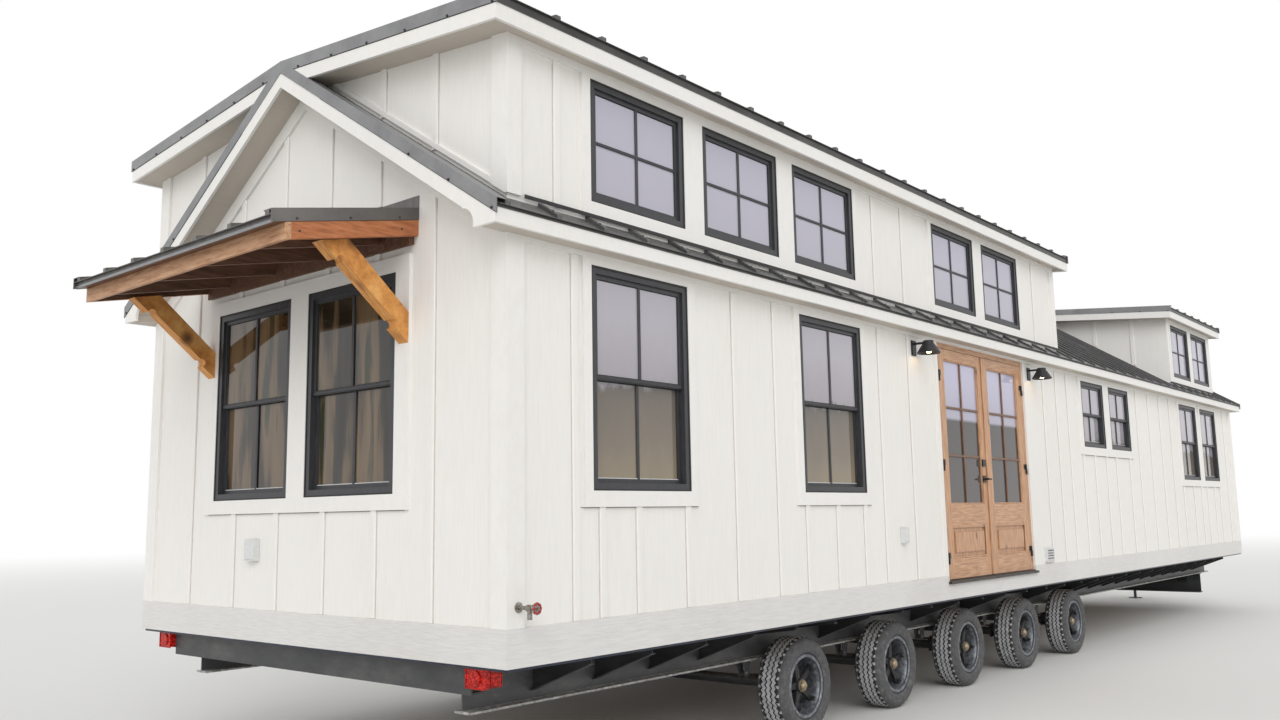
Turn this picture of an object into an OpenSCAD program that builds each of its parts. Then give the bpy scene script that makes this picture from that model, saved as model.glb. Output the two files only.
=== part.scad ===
// Tiny house on wheels: a long board-and-batten house on a steel trailer frame,
// with two full-width dormers, a double door and a small timber awning.
// X runs along the house from the tail (awning) to the hitch, the door wall faces -Y.
// The origin is on the ground, at the middle of the overall box.

/* [House] */
// Length of the walls, tail to hitch end
house_l = 15900; // [15700:50:16100]
// Width over the side walls
house_w = 3920; // [3860:20:3980]
// Wall thickness
wall_t = 140; // [120:10:150]
// Height of the lower window heads above the skirt's underside
head_h = 2210; // [2190:5:2230]
// Height of the main roof's surface at the side walls, above the window heads
eave_rise = 260; // [255:1:270]
// Rise of the main roof for each unit of run
main_pitch = 0.643; // [0.63:0.001:0.66]
// Rise of the dormer roofs for each unit of run
dormer_pitch = 0.0955; // [0.09:0.0005:0.1]
// Overhang of the eaves
eave_out = 134; // [120:1:150]
// Overhang of the roof past the end walls
rake_out = 206; // [180:1:230]

/* [Dormers] */
// Length of the long dormer, from the tail wall
long_dormer_l = 8190; // [8100:10:8300]
// Distance from the short dormer to the hitch wall
short_dormer_gap = 945; // [900:5:1000]
// Length of the short dormer
short_dormer_l = 2337; // [2300:1:2400]
// Height of the dormer windows
dormer_window_h = 755; // [720:5:765]

/* [Openings] */
// Width of the common windows
window_w = 900; // [860:5:920]
// Height of the tall lower windows
window_h = 1303; // [1250:1:1350]
// Start of the doorway, from the tail wall
door_x = 5137; // [5050:1:5250]
// Width of the doorway
door_w = 1981; // [1950:1:2010]

/* [Running gear] */
// Depth of the wheel hubs below the skirt's underside
hub_drop = 492; // [480:1:510]
// Tyre diameter
tyre_d = 696; // [680:2:710]
// Tyre width
tyre_w = 240; // [225:1:245]
// Distance between axles
axle_pitch = 1403; // [1380:1:1430]
// First axle, from the tail wall
axle_x = 3142; // [3050:1:3250]
// Reach of the drawbar past the hitch wall
drawbar_l = 1500; // [1400:10:1600]

/* [Awning] */
// Width of the awning
awning_w = 2400; // [2340:10:2460]
// Reach of the awning from the tail wall
awning_out = 864; // [840:1:900]

/* [Hidden] */

$fn = 32;
e = 1;
// Clearance of sloped and round seats
fit = 0.3;

// Heights, measured from the skirt's underside
mid_y = house_w / 2;
skirt_z = hub_drop + tyre_d / 2;
ground = -skirt_z;
floor_h = 130;
skirt_h = 200;
ridge_h = head_h + eave_rise + main_pitch * mid_y;

// Roof surface heights at a distance from the door wall
function main_z(y) = ridge_h - main_pitch * abs(y - mid_y);
function up_z(y) = ridge_h - dormer_pitch * abs(y - mid_y);

// Roof slabs and the metal on them
board = 20;
slab_h = 136;
up_slab_h = 130;
eave_board_h = 105;
soffit_z = main_z(-eave_out) - eave_board_h;
wall_out_z = main_z(0) - slab_h;
wall_in_z = main_z(wall_t) - slab_h;
rib_pitch = 381;
rib_w = 38;
rib_h = 22;
sheet_t = 4;
rake_drop = 148;
up_drop = 141;
trim_drop = 51;
drip = 16;
sheet_z = fit + sheet_t;
rib_z = sheet_z + rib_h;
cap_z = rib_z + fit;
cap_top = cap_z + 4;
pitch_gap = main_pitch - dormer_pitch;

// Dormers
long_end_x = long_dormer_l + 150;
short_end_x = house_l - short_dormer_gap;
short_dormer_x = short_end_x - short_dormer_l;
short_rake = 200;
up_head = up_z(0) - up_slab_h - 68;
up_sill = up_head - dormer_window_h;

// Windows as [start, width, sill, head]
mid_h = window_h - 227;
small_h = window_h - 546;
small_w = window_w - 136;
small_x = door_x + door_w + 1715;
hitch_win_x = house_l - 3010;
up_w = window_w - 7;
short_mid = (short_dormer_x + short_end_x) / 2;
tail_w = window_w + 15;

tall_low = [[640, window_w, head_h - window_h, head_h], [2866, window_w, head_h - window_h, head_h]];
small_low = [for (x = [small_x, small_x + 965]) [x, small_w, head_h - small_h, head_h]];
hitch_low = [for (x = [hitch_win_x, hitch_win_x + 1130]) [x, window_w - 10, head_h - mid_h, head_h]];
front_low = concat(tall_low, small_low, hitch_low);
back_low = concat(tall_low, hitch_low);
long_up = [for (x = [645, 1740, 2840, long_dormer_l - 3042, long_dormer_l - 1950]) [x, up_w, up_sill, up_head]];
short_up = [for (x = [short_mid - 90 - up_w, short_mid + 90]) [x, up_w, up_sill, up_head]];
tail_low = [for (x = [mid_y - 100 - tail_w, mid_y + 100]) [x, tail_w, head_h - window_h + 3, head_h + 3]];

// Running gear
hub_z = ground + tyre_d / 2;
beam_y = 535;
beam_h = 296;
beam_x0 = 160;
beam_x1 = house_l - 120;
hitch_beam_x = beam_x1 - 530;
web_t = 10;
tyre_y = beam_y - 105 - tyre_w / 2;
rim_r = tyre_d / 2 - 164;
spindle_r = 30;
axle_r = 38;
axle_xs = [for (i = [0:4]) axle_x + i * axle_pitch];
outrigger_pitch = 530;
outriggers_n = floor((beam_x1 - beam_x0 - 600) / outrigger_pitch);
spring_half = 330;
spring_w = 50;
leaf_h = 8;
eye_z = hub_z + 104;
pack_z = hub_z + axle_r + 8;
camber = eye_z - pack_z - 2.5 * leaf_h;
bolt_r = 8;
hitch_x = house_l + drawbar_l;
jack_x = hitch_x - 520;
jack_r = 32;

// Doorway and leaves
jamb = 45;
gap = 5;
meet_gap = 8;
leaf_t = 45;
stile = 110;
door_h = head_h + 46;
sill_z = floor_h;
leaf_w = (door_w - 2 * jamb - 2 * gap - meet_gap) / 2;
leaf_z0 = sill_z + 30 + gap;
leaf_z1 = door_h - jamb - gap;
lite_z0 = leaf_z0 + 651;
lite_z1 = leaf_z1 - 94;
panel_z0 = leaf_z0 + 175;
panel_z1 = lite_z0 - 198;
leaf_xl = door_x + jamb + gap;
leaf_xr = leaf_xl + leaf_w + meet_gap;
pin_xl = leaf_xl - gap / 2;
pin_xr = leaf_xr + leaf_w + gap / 2;
pin_y = -9;
pin_r = 4;
knuckle_r = 7;
hinge_h = 49.5;
hinge_zs = [leaf_z0 + 180, (leaf_z0 + leaf_z1) / 2 - 27, leaf_z1 - 247];

// Awning
awn_top = head_h + 285;
awn_slope = 0.2083;
awn_edge = awning_out + 86;
awn_y0 = mid_y - awning_w / 2;
awn_y1 = mid_y + awning_w / 2;
awn_depth = 92;
function awn_z(x) = awn_top + awn_slope * x;

// Lamps
lamp_r = 98;
lamp_out = 142 + lamp_r;
lamp_z = head_h - 120;

// Middle of the overall box, for the origin
x_mid = (hitch_x - awn_edge) / 2;
y_mid = (house_w + eave_out + drip - lamp_out) / 2;

module place() {
    translate([-x_mid, -y_mid, skirt_z]) children();
}

// Extrudes a Y,Z profile along X
module along_x(x0, x1) {
    translate([x0, 0, 0]) rotate([90, 0, 90]) linear_extrude(x1 - x0) children();
}

// Extrudes an X,Z outline along Y
module along_y(y0, y1) {
    translate([0, y1, 0]) rotate([90, 0, 0]) linear_extrude(y1 - y0) children();
}

module box(x0, x1, y0, y1, z0, z1) {
    translate([x0, y0, z0]) cube([x1 - x0, y1 - y0, z1 - z0]);
}

// A round bar along Y
module bar_y(x, z, y0, y1, r) {
    translate([x, y1, z]) rotate([90, 0, 0]) cylinder(r = r, h = y1 - y0);
}

// A copy on the far side of the house
module far_side() {
    translate([0, house_w, 0]) mirror([0, 1, 0]) children();
}

module both_sides() {
    children();
    far_side() children();
}

// --- Trailer frame ---

module i_profile() {
    polygon([[-65, 0], [65, 0], [65, -12], [web_t / 2, -16], [web_t / 2, -beam_h + 16], [65, -beam_h + 12],
        [65, -beam_h], [-65, -beam_h], [-65, -beam_h + 12], [-web_t / 2, -beam_h + 16], [-web_t / 2, -16],
        [-65, -12]]);
}

// Pair of plates under the beam, with the bolt that carries a spring's eye
module hanger(x) {
    y = spring_w / 2 + 1;
    for (s = [-1, 1])
        along_y(beam_y + min(s * y, s * (y + 8)), beam_y + max(s * y, s * (y + 8))) {
            polygon([[x - 48, -beam_h], [x + 48, -beam_h], [x + 24, eye_z], [x - 24, eye_z]]);
            translate([x, eye_z]) circle(24);
        }
    bar_y(x, eye_z, beam_y - y - 16, beam_y + y + 16, bolt_r);
    for (s = [-1, 1])
        bar_y(x, eye_z, beam_y + s * (y + 12) - 4, beam_y + s * (y + 12) + 4, 14);
}

module main_beams() {
    color("#232527") place() both_sides() {
        along_x(beam_x0, beam_x1) translate([beam_y, 0]) i_profile();
        for (x = axle_xs) {
            hanger(x - spring_half);
            hanger(x + spring_half);
        }
    }
}

// C-shaped members between the beams' webs
module cross_members() {
    c = [[0, -18], [50, -18], [50, -24], [6, -24], [6, -134], [50, -134], [50, -140], [0, -140]];
    color("#26282a") place()
        for (i = [0:2:outriggers_n - 1])
            along_y(beam_y + web_t / 2, house_w - beam_y - web_t / 2)
                translate([beam_x0 + 200 + i * outrigger_pitch, 0]) polygon(c);
}

// Tapered arm from the beam's web to the rim under the wall, shallow where it passes over a tyre
module outrigger(x) {
    over = min([for (a = axle_xs) abs(x - a)]) < tyre_d / 2 + 40;
    d = over ? hub_drop - tyre_d / 2 - 29 : 230;
    y = beam_y - web_t / 2;
    along_x(x, x + 6)
        polygon([[60, 0], [beam_y - 65, 0], [beam_y - 65, -12 - fit], [y, -16 - fit], [y, -d], [60, -50]]);
    along_x(x - 22, x + 28) polygon([[60, -50], [y, -d], [y, -d - 6], [60, -56]]);
}

module outriggers() {
    color("#2a2c2e") place() both_sides()
        for (i = [1:outriggers_n]) outrigger(beam_x0 + i * outrigger_pitch);
}

// Rear channel between the beams' ends, with the light brackets
module tail_channel() {
    color("#55585b") place() {
        difference() {
            box(60, beam_x0, 345, house_w - 345, -168, 0);
            box(70, beam_x0 + e, 340, house_w - 340, -158, -10);
        }
        both_sides() {
            box(60, 68, 200, 345, -122, -14);
            box(68, 140, 200, 208, -122, -14);
        }
    }
}

// A-frame under the beams' ends with the deep beam that carries it, the jack's plate and the coupler
module drawbar() {
    arm_h = 120;
    arm_w = 84;
    arm_x0 = beam_x1 - 900;
    arm_x1 = hitch_x - 290;
    color("#26282a") place() {
        along_y(beam_y - 65, house_w - beam_y + 65) translate([hitch_beam_x, -beam_h]) i_profile();
        both_sides()
            translate([0, 0, -beam_h - arm_h]) linear_extrude(arm_h)
                polygon([[arm_x0, beam_y - arm_w / 2], [arm_x1, mid_y - arm_w], [arm_x1, mid_y],
                    [arm_x1 - 50, mid_y], [arm_x0, beam_y + arm_w / 2]]);
        difference() {
            box(jack_x - 120, arm_x1, mid_y - 190, mid_y + 190, -beam_h, -beam_h + 12);
            translate([jack_x, mid_y, -beam_h - e]) cylinder(r = jack_r + fit, h = 20);
        }
        difference() {
            union() {
                box(arm_x1 - 10, hitch_x - 60, mid_y - 50, mid_y + 50, -beam_h - 70, -beam_h);
                translate([hitch_x - 62, mid_y, -beam_h - 70]) cylinder(r = 62, h = 70);
            }
            translate([hitch_x - 62, mid_y, -beam_h - 71]) cylinder(r = 38, h = 50);
        }
    }
}

// Jack tube through the drawbar's plate, with its ram, foot and crank
module tongue_jack() {
    top = -beam_h + 500;
    color("#3a3c3e") place() translate([jack_x, mid_y, 0]) {
        translate([0, 0, -beam_h - 120]) cylinder(r = jack_r, h = 620);
        translate([0, 0, -beam_h + 12]) cylinder(r = 60, h = 10);
        translate([0, 0, ground + 12]) cylinder(r = 24, h = -ground - beam_h - 100);
        translate([0, 0, ground]) cylinder(r = 110, h = 12);
        translate([0, 0, top]) cylinder(r = 42, h = 60);
        bar_y(0, top + 30, -114, 0, 9);
        translate([0, -120, top - 70]) cylinder(r = 12, h = 115);
        bar_y(0, top - 55, -200, -118, 10);
    }
}

// U-bolts and plates that clamp a spring to its axle
module spring_clamp(x) {
    bolt_x = axle_r + 8;
    bolt_y = spring_w / 2 + 7;
    top = pack_z + 3 * leaf_h + camber * pow(bolt_x / spring_half, 2) + 6 + fit;
    box(x - 62, x + 62, beam_y - 44, beam_y + 44, hub_z - axle_r - 12, hub_z - axle_r + 4);
    box(x - 46, x + 46, beam_y - spring_w / 2, beam_y + spring_w / 2, hub_z + axle_r - 4, pack_z - fit);
    for (s = [-1, 1]) {
        for (t = [-1, 1])
            translate([x + s * bolt_x, beam_y + t * bolt_y, hub_z - axle_r - 22])
                cylinder(r = 6, h = top - hub_z + axle_r + 22);
        bar_y(x + s * bolt_x, top, beam_y - bolt_y, beam_y + bolt_y, 6);
    }
}

// Tube axles with their spindles, brake plates and spring clamps
module axles() {
    color("#1f2123") place() {
        for (x = axle_xs) {
            bar_y(x, hub_z, tyre_y + 80, house_w - tyre_y - 80, axle_r);
            bar_y(x, hub_z, tyre_y - 60, house_w - tyre_y + 60, spindle_r);
        }
        both_sides()
            for (x = axle_xs) {
                bar_y(x, hub_z, tyre_y + 76, tyre_y + 84, rim_r - 34);
                spring_clamp(x);
            }
    }
}

// Outline of a cambered pack of three leaves with an eye at each end
module spring_outline() {
    step = spring_half / 6;
    // Lower edge as [station, leaf]
    lower = [[6, 2], [5, 2], [4, 2], [4, 1], [3, 1], [2, 1], [2, 0], [1, 0], [0, 0],
        [-1, 0], [-2, 0], [-2, 1], [-3, 1], [-4, 1], [-4, 2], [-5, 2], [-6, 2]];
    difference() {
        union() {
            polygon(concat(
                [for (i = [-6:6]) [i * step, pack_z + 3 * leaf_h + camber * pow(i / 6, 2)]],
                [for (p = lower) [p[0] * step, pack_z + p[1] * leaf_h + camber * pow(p[0] / 6, 2)]]));
            for (s = [-1, 1]) translate([s * spring_half, eye_z]) circle(20);
        }
        for (s = [-1, 1]) translate([s * spring_half, eye_z]) circle(bolt_r + fit);
    }
}

module springs() {
    color("#2b2422") place() both_sides()
        for (x = axle_xs)
            along_y(beam_y - spring_w / 2, beam_y + spring_w / 2) translate([x, 0]) spring_outline();
}

// Square rear lens with its round centre, and the side marker
module tail_lights() {
    color("#b3201c") place() both_sides() {
        box(20, 60, 188, 340, -118, -18);
        translate([12, 264, -68]) rotate([0, 90, 0]) cylinder(r = 40, h = 20);
        box(60, 132, 186, 200, -110, -26);
    }
}

// --- House body ---

module floor_deck() {
    color("#b9a888") place() box(wall_t, house_l - wall_t, wall_t, house_w - wall_t, 0, floor_h);
}

module skirt_boards() {
    color("#f2f0ea") place() difference() {
        box(-board, house_l + board, -board, house_w + board, 0, skirt_h);
        box(0, house_l, 0, house_w, -e, skirt_h + e);
        box(door_x, door_x + door_w, -board - e, e, sill_z, skirt_h + e);
    }
}

// Side wall with a bevelled top, between two distances along the house
module side_wall(x0, x1, wins) {
    difference() {
        along_x(x0, x1)
            polygon([[0, 0], [0, wall_out_z - fit], [wall_t, wall_in_z - fit], [wall_t, 0]]);
        for (w = wins)
            if (w[0] > x0 && w[0] < x1) box(w[0], w[0] + w[1], -e, wall_t + e, w[2], w[3]);
    }
}

module door_wall_tail() {
    color("#efeee9") place() side_wall(wall_t, door_x, front_low);
}

module door_wall_hitch() {
    color("#efeee9") place() side_wall(door_x + door_w, house_l - wall_t, front_low);
}

// The wall over the doorway, and the sill beam under it
module door_wall_header() {
    color("#efeee9") place() {
        along_x(door_x, door_x + door_w)
            polygon([[0, door_h], [0, wall_out_z - fit], [wall_t, wall_in_z - fit], [wall_t, door_h]]);
        box(door_x, door_x + door_w, 0, wall_t, 0, sill_z);
    }
}

module back_wall() {
    color("#efeee9") place() far_side() side_wall(wall_t, house_l - wall_t, back_low);
}

// Full-height gable under the low roof
module tail_wall() {
    top = -up_slab_h - fit;
    color("#efeee9") place() difference() {
        along_x(0, wall_t)
            polygon([[0, 0], [0, up_z(0) + top], [mid_y, ridge_h + top], [house_w, up_z(house_w) + top],
                [house_w, 0]]);
        for (w = tail_low) box(-e, wall_t + e, w[0], w[0] + w[1], w[2], w[3]);
    }
}

module hitch_wall() {
    top = -slab_h - fit;
    color("#efeee9") place()
        along_x(house_l - wall_t, house_l)
            polygon([[0, 0], [0, main_z(0) + top], [mid_y, ridge_h + top], [house_w, main_z(house_w) + top],
                [house_w, 0]]);
}

// Dormer wall, standing on the side wall's bevelled top
module dormer_wall(x0, x1, wins) {
    top = -up_slab_h - fit;
    difference() {
        along_x(x0, x1)
            polygon([[0, wall_out_z], [0, up_z(0) + top], [wall_t, up_z(wall_t) + top], [wall_t, wall_in_z]]);
        for (w = wins) box(w[0], w[0] + w[1], -e, wall_t + e, w[2], w[3]);
    }
}

// Cheek that closes a dormer's end above the main roof
module end_cheek(x0, x1) {
    y0 = wall_t + fit;
    y = mid_y - 60;
    top = -up_slab_h - fit;
    along_x(x0, x1)
        polygon([[y0, wall_in_z], [y0, up_z(y0) + top], [y, up_z(y) + top], [y, main_z(y) - slab_h]]);
}

module dormer_walls() {
    color("#efeee9") place() both_sides() {
        dormer_wall(wall_t, long_dormer_l, long_up);
        dormer_wall(short_dormer_x, short_end_x, short_up);
        end_cheek(long_dormer_l - wall_t, long_dormer_l);
        end_cheek(short_dormer_x, short_dormer_x + wall_t);
        end_cheek(short_end_x - wall_t, short_end_x);
    }
}

// Upper floors behind the dormers' windows
module loft_floors() {
    color("#c9b48e") place() {
        box(wall_t, long_dormer_l - wall_t, wall_t, house_w - wall_t, head_h + 80, wall_in_z - 10);
        box(short_dormer_x + wall_t, short_end_x - wall_t, wall_t, house_w - wall_t, head_h + 80, wall_in_z - 10);
    }
}

// --- Roofs ---

// Everything below the main roof's surface raised by a height
module under_main(t) {
    polygon([[-400, main_z(-400) - 900], [-400, main_z(-400) + t], [mid_y, ridge_h + t],
        [house_w + 400, main_z(-400) + t], [house_w + 400, main_z(-400) - 900]]);
}

// One main slope with its boxed eave, open under the dormers
module main_slope() {
    y = -eave_out + board;
    difference() {
        along_x(-rake_out + board, house_l + rake_out - board)
            polygon([[y, soffit_z], [y, main_z(y)], [mid_y, ridge_h], [mid_y, ridge_h - slab_h],
                [0, wall_out_z], [0, soffit_z]]);
        box(0, long_dormer_l, 0, mid_y + e, soffit_z - e, ridge_h + e);
        box(short_dormer_x, short_end_x, 0, mid_y + e, soffit_z - e, ridge_h + e);
    }
}

module roof_front() {
    color("#e9e6df") place() main_slope();
}

module roof_back() {
    color("#e9e6df") place() far_side() main_slope();
}

// Low slab over a dormer; past the dormer's walls it dies out on the main slopes
module low_slab(x0, x1, outside) {
    y = -eave_out + board;
    difference() {
        along_x(x0, x1)
            polygon([[y, up_z(y) - up_slab_h], [y, up_z(y)], [mid_y, ridge_h], [house_w - y, up_z(y)],
                [house_w - y, up_z(y) - up_slab_h], [mid_y, ridge_h - up_slab_h]]);
        for (c = outside) {
            along_x(c[0], c[1]) under_main(fit);
            box(c[0], c[1], mid_y - 20, mid_y + 20, ridge_h - 300, ridge_h + e);
        }
    }
}

module dormer_roofs() {
    s0 = short_dormer_x - short_rake;
    s1 = short_end_x + short_rake;
    color("#e9e6df") place() {
        low_slab(-rake_out + board, long_end_x - board, [[-rake_out, 0], [long_dormer_l, long_end_x]]);
        low_slab(s0 + board, s1 - board, [[s0, short_dormer_x], [short_end_x, s1]]);
    }
}

// Metal sheet on one slope, with standing ribs at a fixed pitch from the tail rake:
// plate and ribs start at the drip and end at [y, z] points of the roof's surface
module sheet(x0, x1, start, plate_end, rib_end) {
    along_x(x0, x1)
        polygon([start + [0, fit], plate_end + [0, fit], plate_end + [0, sheet_z], start + [0, sheet_z]]);
    for (i = [0:ceil(house_l / rib_pitch) + 1]) let (x = -150 + i * rib_pitch)
        if (x >= x0 && x + rib_w <= x1)
            along_x(x, x + rib_w)
                polygon([start + [0, fit], rib_end + [0, fit], rib_end + [0, rib_z], start + [0, rib_z]]);
}

// A point of the main slope, where metal of a height meets the dormer roofs' boards
function meet_point(h) = let (y = mid_y - (up_drop + h + 2) / pitch_gap) [y, main_z(y)];

module lower_slope_sheets() {
    start = [-eave_out - drip, main_z(-eave_out - drip)];
    wall = [0, main_z(0)];
    ridge = [mid_y, ridge_h];
    plate = meet_point(sheet_z);
    rib = meet_point(rib_z);
    sheet(-rake_out + board, 0, start, plate, rib);
    sheet(0, long_dormer_l, start, wall, wall);
    sheet(long_dormer_l, long_end_x, start, plate, rib);
    sheet(long_end_x, short_dormer_x - short_rake, start, ridge, ridge);
    sheet(short_dormer_x - short_rake, short_dormer_x, start, plate, rib);
    sheet(short_dormer_x, short_end_x, start, wall, wall);
    sheet(short_end_x, short_end_x + short_rake, start, plate, rib);
    sheet(short_end_x + short_rake, house_l + rake_out - board, start, ridge, ridge);
}

module lower_roofing() {
    color("#3b3e42") place() both_sides() lower_slope_sheets();
}

module upper_slope_sheets() {
    start = [-eave_out - drip, up_z(-eave_out - drip)];
    ridge = [mid_y, ridge_h];
    sheet(-rake_out + board, long_end_x - board, start, ridge, ridge);
    sheet(short_dormer_x - short_rake + board, short_end_x + short_rake - board, start, ridge, ridge);
}

module upper_roofing() {
    color("#3b3e42") place() both_sides() upper_slope_sheets();
}

// White board along a main rake, with its level return at the eave scooped to a curve
module rake_board(x0) {
    y = 130;
    along_x(x0, x0 + board)
        difference() {
            polygon([[-eave_out, soffit_z], [-eave_out, main_z(-eave_out)], [mid_y, ridge_h],
                [mid_y, ridge_h - rake_drop], [y, main_z(y) - rake_drop], [y, soffit_z]]);
            translate([y + 6, soffit_z + 21]) circle(r = 98);
        }
}

// White board along a dormer's rake, tapering out where it meets the main slope
module dormer_rake_board(x0) {
    y = mid_y - up_drop / pitch_gap;
    difference() {
        along_x(x0, x0 + board)
            polygon([[-eave_out, up_z(-eave_out) - up_drop], [-eave_out, up_z(-eave_out)],
                [mid_y - 15, up_z(mid_y - 15)], [mid_y - 15, main_z(mid_y - 15)], [y, main_z(y)]]);
        along_x(x0 - e, x0 + board + e) under_main(fit);
    }
}

module eave_board(x0, x1, z0, z1) {
    box(x0, x1, -eave_out, -eave_out + board, z0, z1);
}

module fascias() {
    up = up_z(-eave_out);
    s0 = short_dormer_x - short_rake;
    s1 = short_end_x + short_rake;
    color("#f4f2ec") place() both_sides() {
        eave_board(-rake_out + board, house_l + rake_out - board, soffit_z, main_z(-eave_out));
        eave_board(-rake_out + board, long_end_x - board, up - up_drop, up);
        eave_board(s0 + board, s1 - board, up - up_drop, up);
        rake_board(-rake_out);
        rake_board(house_l + rake_out - board);
        dormer_rake_board(-rake_out);
        dormer_rake_board(long_end_x - board);
        dormer_rake_board(s0);
        dormer_rake_board(s1 - board);
    }
}

// Folded metal over a rake; s is -1 where it faces the tail and 1 where it faces the hitch
module rake_metal(x0, s, pitch) {
    y = -eave_out - drip;
    zo = ridge_h - pitch * (mid_y - y);
    along_x(min(x0, x0 + s * 4), max(x0, x0 + s * 4))
        polygon([[y, zo - trim_drop], [y, zo + cap_top], [mid_y, ridge_h + cap_top], [mid_y, ridge_h - trim_drop]]);
    along_x(min(x0, x0 - s * 70), max(x0, x0 - s * 70))
        polygon([[y, zo + cap_z], [y, zo + cap_top], [mid_y, ridge_h + cap_top], [mid_y, ridge_h + cap_z]]);
}

// Rake metal of a dormer, cut to the main slope's ribs
module dormer_rake_metal(x0, s) {
    difference() {
        rake_metal(x0, s, dormer_pitch);
        along_x(min(x0, x0 + s * 5), max(x0, x0 + s * 5)) under_main(rib_z + fit);
    }
}

// Folded cap along a ridge
module ridge_cap(x0, x1, pitch) {
    z = ridge_h - pitch * 130;
    along_x(x0, x1)
        polygon([[mid_y - 130, z + cap_z], [mid_y - 130, z + cap_top], [mid_y, ridge_h + cap_top],
            [mid_y, ridge_h + cap_z]]);
}

// Folded edge under the sheets, on the eave boards
module drip_edge(x0, x1, pitch, h) {
    y = -eave_out - 4;
    z = ridge_h - pitch * (mid_y - y);
    box(x0, x1, y, y + 4, z - h, z);
}

module metal_trim() {
    s0 = short_dormer_x - short_rake;
    s1 = short_end_x + short_rake;
    meet = meet_point(cap_top);
    color("#9a9ea2") place() both_sides() {
        difference() {
            rake_metal(-rake_out, -1, main_pitch);
            box(-rake_out, -rake_out + 80, meet[0], mid_y + e, meet[1] - e, ridge_h + 100);
        }
        rake_metal(house_l + rake_out, 1, main_pitch);
        rake_metal(-rake_out, -1, dormer_pitch);
        dormer_rake_metal(long_end_x, 1);
        dormer_rake_metal(s0, -1);
        dormer_rake_metal(s1, 1);
        ridge_cap(-rake_out, long_end_x, dormer_pitch);
        ridge_cap(long_end_x, s0, main_pitch);
        ridge_cap(s0, s1, dormer_pitch);
        ridge_cap(s1, house_l + rake_out, main_pitch);
        drip_edge(-rake_out, house_l + rake_out, main_pitch, 22);
        drip_edge(-rake_out, long_end_x, dormer_pitch, trim_drop);
        drip_edge(s0, s1, dormer_pitch, trim_drop);
    }
}

// --- White boards on the walls ---

corner_w = 108;
casing_w = 70;
apron_h = 92;
frieze_z = head_h + 40;
up_frieze_z = up_head + 20;
up_trim_top = up_z(-board) - up_slab_h - fit;
up_trim_z = main_z(0) + rib_z + 4;

module wall_board(x0, x1, z0, z1) {
    box(x0, x1, -board, 0, z0, z1);
}

// Board around a group of windows, from the first to the last
module casing(group, z0, z1) {
    last = group[len(group) - 1];
    difference() {
        wall_board(group[0][0] - casing_w, last[0] + last[1] + casing_w, z0, z1);
        for (w = group) box(w[0], w[0] + w[1], -board - e, e, w[2], w[3]);
    }
}

// Boards of a side wall: corners, frieze and window casings
module side_trim(groups) {
    wall_board(-board, corner_w, skirt_h, soffit_z);
    wall_board(house_l - corner_w, house_l + board, skirt_h, soffit_z);
    wall_board(corner_w, house_l - corner_w, frieze_z, soffit_z);
    for (g = groups) casing(g, g[0][2] - apron_h, frieze_z + e);
}

// Boards of a dormer's wall: ends, frieze and window casings
module dormer_trim(x0, x1, groups) {
    wall_board(x0, x0 + corner_w, up_trim_z, up_trim_top);
    wall_board(x1 - corner_w, x1, up_trim_z, up_trim_top);
    wall_board(x0, x1, up_frieze_z, up_trim_top);
    for (g = groups) casing(g, up_trim_z, up_frieze_z + e);
}

// Corner board of an end wall, up to the overhanging roof
module end_corner(x0) {
    along_x(x0, x0 + board)
        polygon([[0, skirt_h], [0, wall_out_z - fit], [corner_w, main_z(corner_w) - slab_h - fit],
            [corner_w, skirt_h]]);
}

module wall_trim() {
    up = -up_slab_h - fit;
    rise = rib_z + 4;
    color("#f6f4ef") place() {
        difference() {
            side_trim([[tall_low[0]], [tall_low[1]], small_low, [hitch_low[0]], [hitch_low[1]]]);
            box(door_x, door_x + door_w, -board - e, e, skirt_h - e, door_h);
        }
        wall_board(door_x - 50, door_x, skirt_h, frieze_z + e);
        wall_board(door_x + door_w, door_x + door_w + 50, skirt_h, frieze_z + e);
        far_side() side_trim([[tall_low[0]], [tall_low[1]], [hitch_low[0]], [hitch_low[1]]]);
        both_sides() {
            dormer_trim(-board, long_dormer_l,
                [[long_up[0], long_up[1], long_up[2]], [long_up[3], long_up[4]]]);
            dormer_trim(short_dormer_x, short_end_x, [short_up]);
            end_corner(-board);
            end_corner(house_l);
            along_x(-board, 0)
                polygon([[0, main_z(0) + rise], [0, up_z(0) + up], [corner_w, up_z(corner_w) + up],
                    [corner_w, main_z(corner_w) + rise]]);
        }
        difference() {
            box(-board, 0, mid_y - 1144, mid_y + 1144, head_h - window_h + 3 - apron_h, head_h + 97);
            for (w = tail_low) box(-board - e, e, w[0], w[0] + w[1], w[2], w[3]);
        }
    }
}

// --- Windows ---

frame_w = 45;
frame_out = 12;
sash_w = 26;

module ring(w, b, y0, y1) {
    difference() {
        box(w[0], w[0] + w[1], y0, y1, w[2], w[3]);
        box(w[0] + b, w[0] + w[1] - b, y0 - e, y1 + e, w[2] + b, w[3] - b);
    }
}

// Frame with its sash; a hung window has an upper and a lower sash, the lower one set back
module frame_at(w, hung) {
    inner = [w[0] + frame_w, w[1] - 2 * frame_w, w[2] + frame_w, w[3] - frame_w];
    mid = (inner[2] + inner[3]) / 2;
    ring(w, frame_w, -frame_out, 75);
    if (hung) {
        ring([inner[0], inner[1], mid - 13, inner[3]], sash_w, 5, 30);
        ring([inner[0], inner[1], inner[2], mid + 13], sash_w, 30, 55);
    } else
        ring(inner, sash_w, 5, 30);
}

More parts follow.
